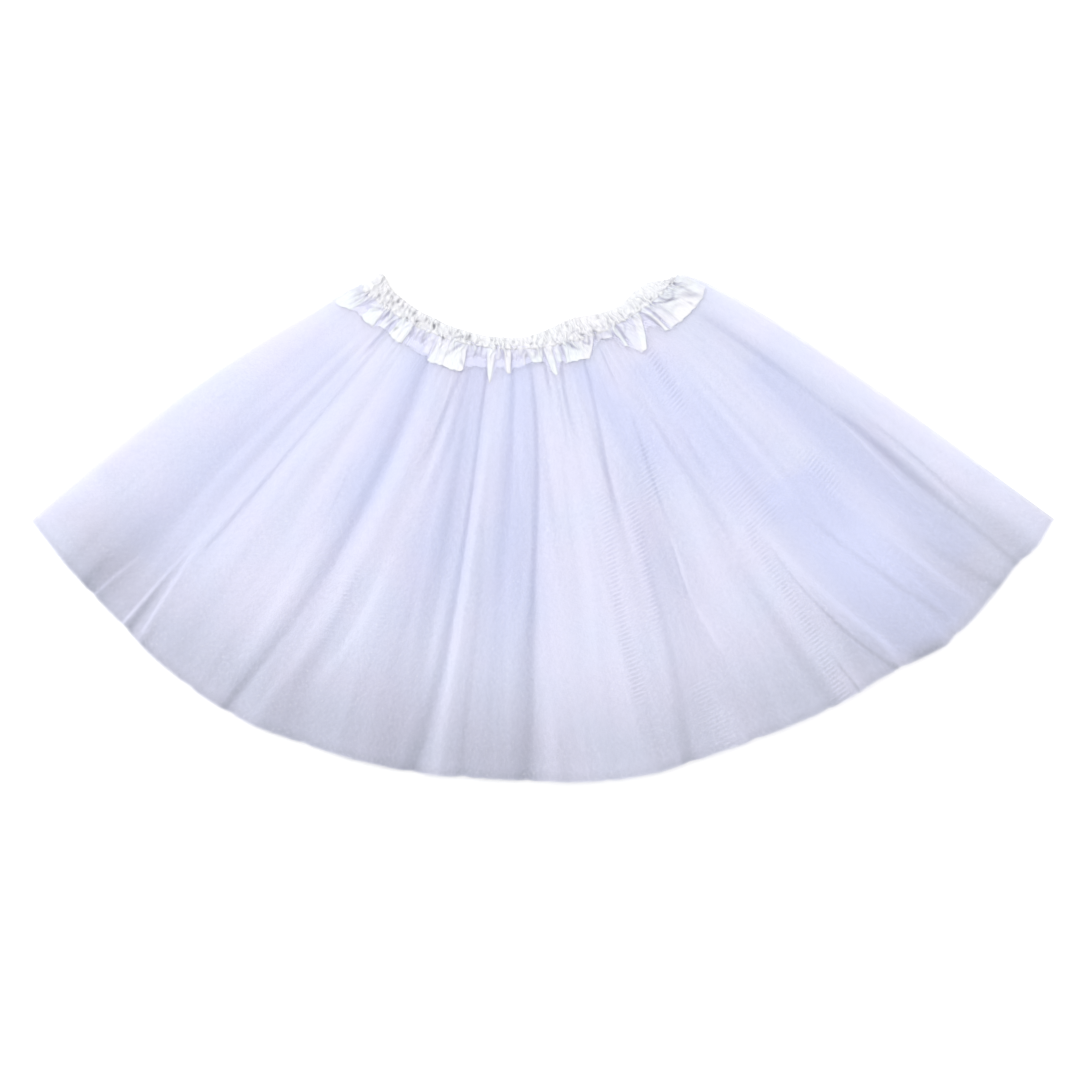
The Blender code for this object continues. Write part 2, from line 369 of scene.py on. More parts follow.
class Graph:
    """Adds nodes to a material or a node group and links them."""

    def __init__(self, tree: bpy.types.NodeTree) -> None:
        """Works on this node tree."""
        self.tree = tree

    def node(self, kind: str, **settings: object) -> bpy.types.Node:
        """A new node.

        Args:
            kind: Its type, by Blender's name.
            **settings: Properties to set on it.

        Returns:
            The node.
        """
        made = self.tree.nodes.new(kind)
        for key, value in settings.items():
            setattr(made, key, value)
        return made

    def feed(self, socket: bpy.types.NodeSocket, value: object) -> None:
        """Gives a socket what it works on.

        Args:
            socket: A node's input.
            value: Another node's output, or a constant.
        """
        if isinstance(value, bpy.types.NodeSocket):
            self.tree.links.new(value, socket)
        else:
            socket.default_value = value

    def fed(self, kind: str, values: tuple, **settings: object) -> bpy.types.NodeSocket:
        """The first output of a new node.

        Args:
            kind: The node's type.
            values: What its inputs are given, in their order.
            **settings: Properties to set on it.

        Returns:
            Its first output.
        """
        made = self.node(kind, **settings)
        for socket, value in zip(made.inputs, values, strict=False):
            self.feed(socket, value)
        return made.outputs[0]

    def math(self, operation: str, *values: object) -> bpy.types.NodeSocket:
        """The result of a Math node on these values."""
        return self.fed("ShaderNodeMath", values, operation=operation)

    def spread(self, value: object, *limits: float) -> bpy.types.NodeSocket:
        """Maps value from the first two limits onto the last two, and holds it at the ends."""
        return self.fed("ShaderNodeMapRange", (value, *limits))

    def blend(self, factor: object, first: object, second: object) -> bpy.types.NodeSocket:
        """A mix of two colours.

        Args:
            factor: How far it goes to the second.
            first: The colour at factor 0.
            second: The colour at factor 1.

        Returns:
            The mixed colour.
        """
        made = self.node("ShaderNodeMix", data_type="RGBA", clamp_factor=True)
        self.feed(made.inputs["Factor"], factor)
        for label, colour in (("A", first), ("B", second)):
            linked = isinstance(colour, bpy.types.NodeSocket)
            self.feed(made.inputs[label], colour if linked else (*colour, 1.0))
        return made.outputs["Result"]

    def attribute(self, name: str) -> bpy.types.NodeSocket:
        """The number that the mesh carries under this name."""
        return self.node("ShaderNodeAttribute", attribute_name=name).outputs["Fac"]

    def cloth(self) -> bpy.types.NodeSocket:
        """Places on the flat cloth."""
        return self.node("ShaderNodeUVMap", uv_map=CLOTH_MAP).outputs["UV"]

    def place(self) -> bpy.types.NodeSocket:
        """Places in the piece's own space."""
        return self.node("ShaderNodeTexCoord").outputs["Object"]

    def group(self, tree: bpy.types.NodeTree, **values: object) -> bpy.types.NodeOutputs:
        """Places a shared group.

        Args:
            tree: The group.
            **values: What its inputs of these names are given.

        Returns:
            Its outputs, by name.
        """
        made = self.node("ShaderNodeGroup", node_tree=tree)
        for label, value in values.items():
            self.feed(made.inputs[label], value)
        return made.outputs


class SharedGroup(Graph):
    """A node group with named inputs and outputs, which each material places with values of its own."""

    def __init__(self, name: str, vector: str, numbers: dict[str, float], outputs: tuple[str, ...]) -> None:
        """Makes the group and its sockets.

        Args:
            name: What it is called.
            vector: The name of its vector input.
            numbers: The names of its number inputs, with what each is to begin with.
            outputs: The names of its outputs, which are numbers.
        """
        super().__init__(bpy.data.node_groups.new(name, "ShaderNodeTree"))
        sockets = self.tree.interface
        sockets.new_socket(vector, in_out="INPUT", socket_type="NodeSocketVector")
        for label, number in numbers.items():
            sockets.new_socket(label, in_out="INPUT", socket_type="NodeSocketFloat").default_value = number
        for label in outputs:
            sockets.new_socket(label, in_out="OUTPUT", socket_type="NodeSocketFloat")
        self.given = self.node("NodeGroupInput").outputs
        self.leaving = self.node("NodeGroupOutput").inputs


def net_group() -> bpy.types.NodeTree:
    """The honeycomb net of tulle, as a group.

    Three cosines whose crests run 60 degrees apart are summed. The sum peaks in the middle of each hole and
    is lowest where strands meet, so what lies under a level is strand, and raising the level thickens it.
    Slow noise makes the net stray from true, so nets that lie over each other show no regular dots.

    Returns:
        The group's tree.
    """
    numbers = {"Stray": 0.0, "Drift": 40.0, "Turn": 0.0, "Cell": 0.0011, "Level": -0.6, "Softness": 0.35}
    g = SharedGroup("honeycomb_net", "Cloth", numbers, ("Strand",))
    cloth = g.given["Cloth"]
    drift = g.node("ShaderNodeTexNoise")
    for label, value in (("Vector", cloth), ("Scale", g.given["Drift"]), ("Detail", 0.0)):
        g.feed(drift.inputs[label], value)
    strayed = g.fed(
        "ShaderNodeVectorMath", (drift.outputs["Color"], g.given["Stray"], cloth), operation="MULTIPLY_ADD"
    )
    turned = g.node("ShaderNodeVectorRotate", rotation_type="Z_AXIS")
    g.feed(turned.inputs["Vector"], strayed)
    g.feed(turned.inputs["Angle"], g.given["Turn"])
    split = g.node("ShaderNodeSeparateXYZ")
    g.feed(split.inputs[0], turned.outputs[0])
    turns = g.math("DIVIDE", TURN, g.given["Cell"])
    x, y = (g.math("MULTIPLY", split.outputs[axis], turns) for axis in "XY")
    half_x, side_y = g.math("MULTIPLY", x, 0.5), g.math("MULTIPLY", y, math.sqrt(3.0) / 2.0)
    crests = (x, g.math("ADD", half_x, side_y), g.math("SUBTRACT", half_x, side_y))
    first, second, third = (g.math("COSINE", crest) for crest in crests)
    total = g.math("ADD", g.math("ADD", first, second), third)
    low, high = (g.math(way, g.given["Level"], g.given["Softness"]) for way in ("SUBTRACT", "ADD"))
    g.feed(g.leaving["Strand"], g.fed("ShaderNodeMapRange", (total, low, high, 1.0, 0.0)))
    return g.tree


def noise_group() -> bpy.types.NodeTree:
    """Soft noise, as a group: its height, and a mask that climbs from 0 at low to 1 at high.

    Returns:
        The group's tree.
    """
    numbers = {"Scale": 24.0, "Detail": 2.0, "Low": 0.3, "High": 0.7}
    g = SharedGroup("soft_noise", "Place", numbers, ("Height", "Mask"))
    noise = g.node("ShaderNodeTexNoise")
    for label, source in (("Vector", "Place"), ("Scale", "Scale"), ("Detail", "Detail")):
        g.feed(noise.inputs[label], g.given[source])
    height = noise.outputs["Fac"]
    g.feed(g.leaving["Height"], height)
    spread = (height, g.given["Low"], g.given["High"], 0.0, 1.0)
    g.feed(g.leaving["Mask"], g.fed("ShaderNodeMapRange", spread))
    return g.tree


@dataclass(frozen=True)
class Effects:
    """The effects that several finishes share, each built once as a node group."""

    net: bpy.types.NodeTree
    noise: bpy.types.NodeTree

    @classmethod
    def build(cls) -> Self:
        """Builds them all."""
        return cls(net=net_group(), noise=noise_group())


def new_finish(name: str) -> tuple[bpy.types.Material, Graph, bpy.types.NodeInputs]:
    """A new material.

    Args:
        name: What it is called.

    Returns:
        The material, the graph of its nodes, and the inputs of its shader.
    """
    made = bpy.data.materials.new(name)
    made.use_nodes = True
    return made, Graph(made.node_tree), made.node_tree.nodes["Principled BSDF"].inputs


@dataclass(frozen=True)
class Tulle:
    """The finish of one layer of tulle, whose net has open holes.

    Ice and lilac are its two light tints, which change over in soft patches, and turn to blue where the mesh
    says so. Cool and deep are the colours of its painted shade, which the tints turn to where shade is 1, and
    grey is the colour of that painted shade near the hem. Patch and fleck are each the scale of a noise and
    the heights between which it takes effect. Levels are how thick the strands are where density is 0 and
    where it is 1, and stray is how far the net strays from true, in metres.
    """

    name: str
    cell: float
    turn: float
    drift: float
    stray: float = 0.0016
    levels: Pair = (-0.75, 0.9)
    ice: Colour = (0.832, 0.853, 1.0)
    lilac: Colour = (0.858, 0.853, 1.0)
    blue: Colour = (0.752, 0.785, 1.0)
    cool: Colour = (0.345, 0.385, 0.59)
    deep: Colour = (0.385, 0.385, 0.58)
    grey: Colour = (0.355, 0.365, 0.45)
    patch: Triple = (24.0, 0.38, 0.62)
    fleck: Triple = (420.0, 0.3, 0.7)
    fleck_depth: float = 0.10
    rung_wave: Pair = (-0.1, 0.9)
    rung_tones: Pair = (-0.72, 1.0)
    rung_light: float = 0.37
    rough: Pair = (0.9, 0.62)
    shine: float = 0.25

    def material(self, effects: Effects) -> bpy.types.Material:
        """Builds the node material.

        Args:
            effects: The shared groups.

        Returns:
            The material.
        """
        made, g, shader = new_finish(self.name)
        cloth, place = g.cloth(), g.place()
        level = g.spread(g.attribute("density"), 0.0, 1.0, *self.levels)
        strand = g.group(
            effects.net,
            Cloth=cloth,
            Stray=self.stray,
            Drift=self.drift,
            Turn=math.radians(self.turn),
            Cell=self.cell,
            Level=level,
        )["Strand"]
        patch, fleck = (
            g.group(effects.noise, Place=where, Scale=scale, Low=low, High=high)["Mask"]
            for where, (scale, low, high) in ((place, self.patch), (cloth, self.fleck))
        )
        fleck = g.spread(fleck, 0.0, 1.0, -self.fleck_depth, self.fleck_depth)
        rungs = g.math("SINE", g.math("MULTIPLY", g.attribute("step"), TURN))
        lit = g.math("MULTIPLY", g.spread(rungs, *self.rung_wave, *self.rung_tones), g.attribute("rungs"))
        shade = g.math("ADD", g.attribute("shade"), g.math("MULTIPLY_ADD", lit, -self.rung_light, fleck))
        # The light tints turn towards the colours of the painted shade where shade is 1, and to grey near the
        # hem.
        light = g.blend(g.attribute("blue"), g.blend(patch, self.ice, self.lilac), self.blue)
        dark = g.blend(g.attribute("fall"), g.blend(patch, self.cool, self.deep), self.grey)
        g.feed(shader["Base Color"], g.blend(shade, light, dark))
        g.feed(shader["Roughness"], g.spread(strand, 0.0, 1.0, *self.rough))
        g.feed(shader["Alpha"], strand)
        shader["Specular IOR Level"].default_value = self.shine
        return made


@dataclass(frozen=True)
class Satin:
    """The finish of the waistband's satin: smooth and bright, with fine creases that run across the strip.

    Face and mint are its two tints, which change over in soft patches. Shadow is the colour of its painted
    shade, which they turn to where shade is 1, and pit the colour of the painted shadow in its dimples and
    creases, where pit is 1. Patch and crease are each the scale of a noise and the heights between which it
    takes effect. Drawn is how the creases are stretched, and bump their strength and height.
    """

    name: str
    face: Colour = (0.67, 0.665, 0.68)
    mint: Colour = (0.65, 0.685, 0.69)
    shadow: Colour = (0.52, 0.52, 0.66)
    pit: Colour = (0.14, 0.14, 0.17)
    patch: Triple = (45.0, 0.42, 0.58)
    crease: Triple = (900.0, 0.3, 0.7)
    crease_detail: float = 3.0
    drawn: Triple = (1.0, 0.18, 1.0)
    rough: Pair = (0.21, 0.36)
    bump: Pair = (0.35, 0.0006)
    shine: float = 0.6

    def material(self, effects: Effects) -> bpy.types.Material:
        """Builds the node material.

        Args:
            effects: The shared groups.

        Returns:
            The material.
        """
        made, g, shader = new_finish(self.name)
        drawn = g.fed("ShaderNodeVectorMath", (g.cloth(), self.drawn), operation="MULTIPLY")
        scale, low, high = self.crease
        detail = self.crease_detail
        crease = g.group(effects.noise, Place=drawn, Scale=scale, Detail=detail, Low=low, High=high)
        scale, low, high = self.patch
        patch = g.group(effects.noise, Place=g.place(), Scale=scale, Low=low, High=high)["Mask"]
        # Painted shade turns the tints to the shadow colour, and the painted shadow in dimples and creases to
        # pit.
        tinted = g.blend(g.attribute("shade"), g.blend(patch, self.face, self.mint), self.shadow)
        g.feed(shader["Base Color"], g.blend(g.attribute("pit"), tinted, self.pit))
        g.feed(shader["Roughness"], g.spread(crease["Mask"], 0.0, 1.0, *self.rough))
        bump = g.node("ShaderNodeBump")
        values = (*self.bump, crease["Height"])
        for label, value in zip(("Strength", "Distance", "Height"), values, strict=True):
            g.feed(bump.inputs[label], value)
        g.feed(shader["Normal"], bump.outputs[0])
        shader["Specular IOR Level"].default_value = self.shine
        return made


@dataclass(frozen=True)
class Fold:
    """A main fold: a ridge, and the trough on its right. Places are shares of the fan, heights are metres.

    Bow is how far both stray from straight, half way down, as a share.
    """

    crest_waist: float
    crest_hem: float
    crest_height: float
    foot_waist: float
    foot_hem: float
    foot_height: float
    bow: float = 0.0

    def run(self, waist: float, hem: float, depth: Array) -> Array:
        """A share at each depth: a straight run from the waist to the hem, plus a parabola for the bow."""
        return mix(waist, hem, depth) + 4.0 * self.bow * depth * (1.0 - depth)

    def crest(self, depth: Array) -> Array:
        """The ridge's share at each depth."""
        return self.run(self.crest_waist, self.crest_hem, depth)

    def foot(self, depth: Array) -> Array:
        """The trough's share at each depth."""
        return self.run(self.foot_waist, self.foot_hem, depth)


FRONT_FOLDS = listed(
    Fold,
    (0.045, 0.045, 0.0022, 0.085, 0.078, 0.0010),
    (0.110, 0.100, 0.0030, 0.140, 0.118, 0.0006, 0.004),
    (0.178, 0.155, 0.0036, 0.212, 0.190, 0.0020),
    (0.238, 0.210, 0.0038, 0.268, 0.231, 0.0004, 0.010),
    (0.330, 0.254, 0.0050, 0.350, 0.298, 0.0014, -0.004),
    (0.378, 0.350, 0.0052, 0.402, 0.391, 0.0000, 0.010),
    (0.440, 0.407, 0.0050, 0.468, 0.434, 0.0014),
    (0.494, 0.462, 0.0048, 0.520, 0.488, 0.0000, 0.004),
    (0.552, 0.525, 0.0052, 0.578, 0.556, 0.0020),
    (0.612, 0.584, 0.0044, 0.652, 0.628, 0.0008, -0.010),
    (0.690, 0.654, 0.0044, 0.714, 0.686, 0.0018, 0.004),
    (0.744, 0.722, 0.0044, 0.768, 0.752, 0.0018),
    (0.792, 0.788, 0.0046, 0.812, 0.823, 0.0014),
    (0.838, 0.850, 0.0040, 0.858, 0.876, 0.0014),
    (0.905, 0.916, 0.0038, 0.946, 0.960, 0.0008, 0.004),
    (0.976, 0.978, 0.0024, 1.000, 1.000, 0.0000),
)

# The back's folds lie flatter, because it rests on the surface.
BACK_FOLDS = listed(
    Fold,
    (0.060, 0.055, 0.0009, 0.095, 0.090, 0.0000),
    (0.140, 0.128, 0.0012, 0.172, 0.160, 0.0002),
    (0.215, 0.205, 0.0008, 0.250, 0.243, 0.0000),
    (0.298, 0.280, 0.0013, 0.330, 0.318, 0.0001),
    (0.372, 0.360, 0.0010, 0.405, 0.398, 0.0000),
    (0.452, 0.448, 0.0013, 0.498, 0.490, 0.0003),
    (0.540, 0.536, 0.0008, 0.570, 0.566, 0.0000),
    (0.622, 0.620, 0.0012, 0.660, 0.655, 0.0000),
    (0.700, 0.706, 0.0009, 0.735, 0.742, 0.0002),
    (0.785, 0.790, 0.0013, 0.818, 0.826, 0.0000),
    (0.870, 0.872, 0.0010, 0.905, 0.910, 0.0001),
    (0.950, 0.952, 0.0008, 1.000, 1.000, 0.0000),
)

# How much of a quarter sine there is in a fold's sides. The rest is a smooth step.
ROUNDED = 0.2


def fold_height(folds: tuple[Fold, ...], share: Array, depth: Array) -> Array:
    """How high the main folds lift the cloth.

    From each trough to the next ridge the height climbs by a smooth step blended with some of a quarter sine,
    and down again by its mirror, so ridges are round and troughs a little sharper.

    Args:
        folds: The folds from left to right.
        share: Columns by their share.
        depth: Rows by their depth, as a column.

    Returns:
        The height at each row and column.
    """
    height = np.zeros(np.broadcast(share, depth).shape)
    last_place, last_height = 0.0 * depth, 0.0
    for fold in folds:
        crest, foot = fold.crest(depth), fold.foot(depth)
        climb = np.clip((share - last_place) / (crest - last_place), 0.0, 1.0)
        fall = np.clip((share - crest) / (foot - crest), 0.0, 1.0)
        climbed = mix(ease(climb), np.sin(climb * TURN / 4), ROUNDED)
        fallen = mix(ease(fall), 1.0 - np.cos(fall * TURN / 4), ROUNDED)
        height += (fold.crest_height - last_height) * climbed
        height += (fold.foot_height - fold.crest_height) * fallen
        last_place, last_height = foot, fold.foot_height
    return height


@dataclass(frozen=True)
class Pleats:
    """Small gathers that start at the waist seam and die out down the skirt.

    There are count of them across the fan. They have their whole height by the depth grown, and gone further
    down only left of it. Drift makes them uneven in width and swell in height, and they sway as they run.
    """

    count: float
    height: float
    grown: float
    gone: float
    left: float
    drift: tuple[Triple, ...]
    swell: tuple[Triple, ...]
    sway: ClassVar[tuple[Triple, ...]] = ((0.004, 3.0, 40.0),)
    slant: ClassVar[float] = 0.03
    side: ClassVar[float] = 0.03
    roundness: ClassVar[float] = 0.75

    def lift(self, share: Array, depth: Array) -> Array:
        """How high they stand: raised sines of the drifting share, times the swell and the way down.

        Args:
            share: Columns by their share.
            depth: Rows by their depth, as a column.

        Returns:
            The height at each row and column.
        """
        phase = self.count * (share + wobble(share, self.drift) + slanting(share, depth, self.sway))
        size = np.clip(1.0 + wobble(share + self.slant * depth, self.swell), 0.0, None)
        gone = ease(depth, self.grown, self.grown + self.gone)
        down = ease(depth, 0.0, self.grown) * mix(1.0, self.left, gone)
        sides = ease(share, 0.0, self.side) * ease(1.0 - share, 0.0, self.side)
        return self.height * (0.5 + 0.5 * np.sin(TURN * phase)) ** self.roundness * size * down * sides


GATHERS = (
    Pleats(
        count=52.0, height=0.0003, grown=0.03, gone=0.20, left=0.00,
        drift=((5.0, 0.10, 0.0060), (13.0, 0.45, 0.0032), (31.0, 0.70, 0.0012)),
        swell=((7.0, 0.2, 0.55), (19.0, 0.6, 0.45), (2.0, 0.8, 0.3)),
    ),
    Pleats(
        count=23.0, height=0.0010, grown=0.30, gone=0.60, left=0.25,
        drift=((3.0, 0.60, 0.0120), (8.0, 0.15, 0.0060), (17.0, 0.35, 0.0025)),
        swell=((4.0, 0.7, 0.60), (11.0, 0.1, 0.45)),
    ),
)


@dataclass(frozen=True)
class Streak:
    """A soft streak that runs down the skirt along a fold.

    Attributes:
        places: Its shares, evenly spaced from where it begins to where it ends.
        span: The depths where it begins and ends.
        halves: Half its width along the way, in millimetres.
        tones: How strong it is along the way: darker, or lighter if negative.
        crisp: 0 if both edges are soft, 1 if its right edge is a crease, -1 if its left one is.
    """

    places: tuple[float, ...]
    span: Pair
    halves: tuple[float, ...]
    tones: tuple[float, ...] | float
    crisp: float = 0.0
    bends: ClassVar[int] = 4
    flatness: ClassVar[float] = 2.6
    pinch: ClassVar[float] = 1.2
    fade: ClassVar[float] = 0.05

    def paint(self, share: Array, depth: Array) -> Array:
        """A flat-topped bell curve across the streak, steeper on a creased side, faded in and out along it.

        Its middle is a polynomial fitted through its places.

        Args:
            share: Columns by their share.
            depth: Rows by their depth, as a column.

        Returns:
            Its strength at each row and column.
        """
        start, end = self.span
        run = np.clip((depth - start) / (end - start), 0.0, 1.0)
        spaced, power = np.linspace(0.0, 1.0, len(self.places)), min(len(self.places) - 1, self.bends)
        off = share - Polynomial.fit(spaced, self.places, power, domain=[0, 1])(run)
        half, tone = (
            np.interp(run, np.linspace(0.0, 1.0, np.size(values)), np.atleast_1d(values))
            for values in (self.halves, self.tones)
        )
        sharp = np.where(off * self.crisp > 0.0, 1.0 + self.pinch * abs(self.crisp), 1.0)
        across = np.abs(off) * FAN.width(depth) / (half * MM) * sharp
        shown = ease((depth - start) / self.fade + 0.5) * ease((end - depth) / self.fade + 0.5)
        return tone * np.exp(-(across**self.flatness)) * shown


def painted(rows: tuple[Streak, ...], share: Array, depth: Array) -> Array:
    """The tones of all these streaks added up."""
    return sum(streak.paint(share, depth) for streak in rows)
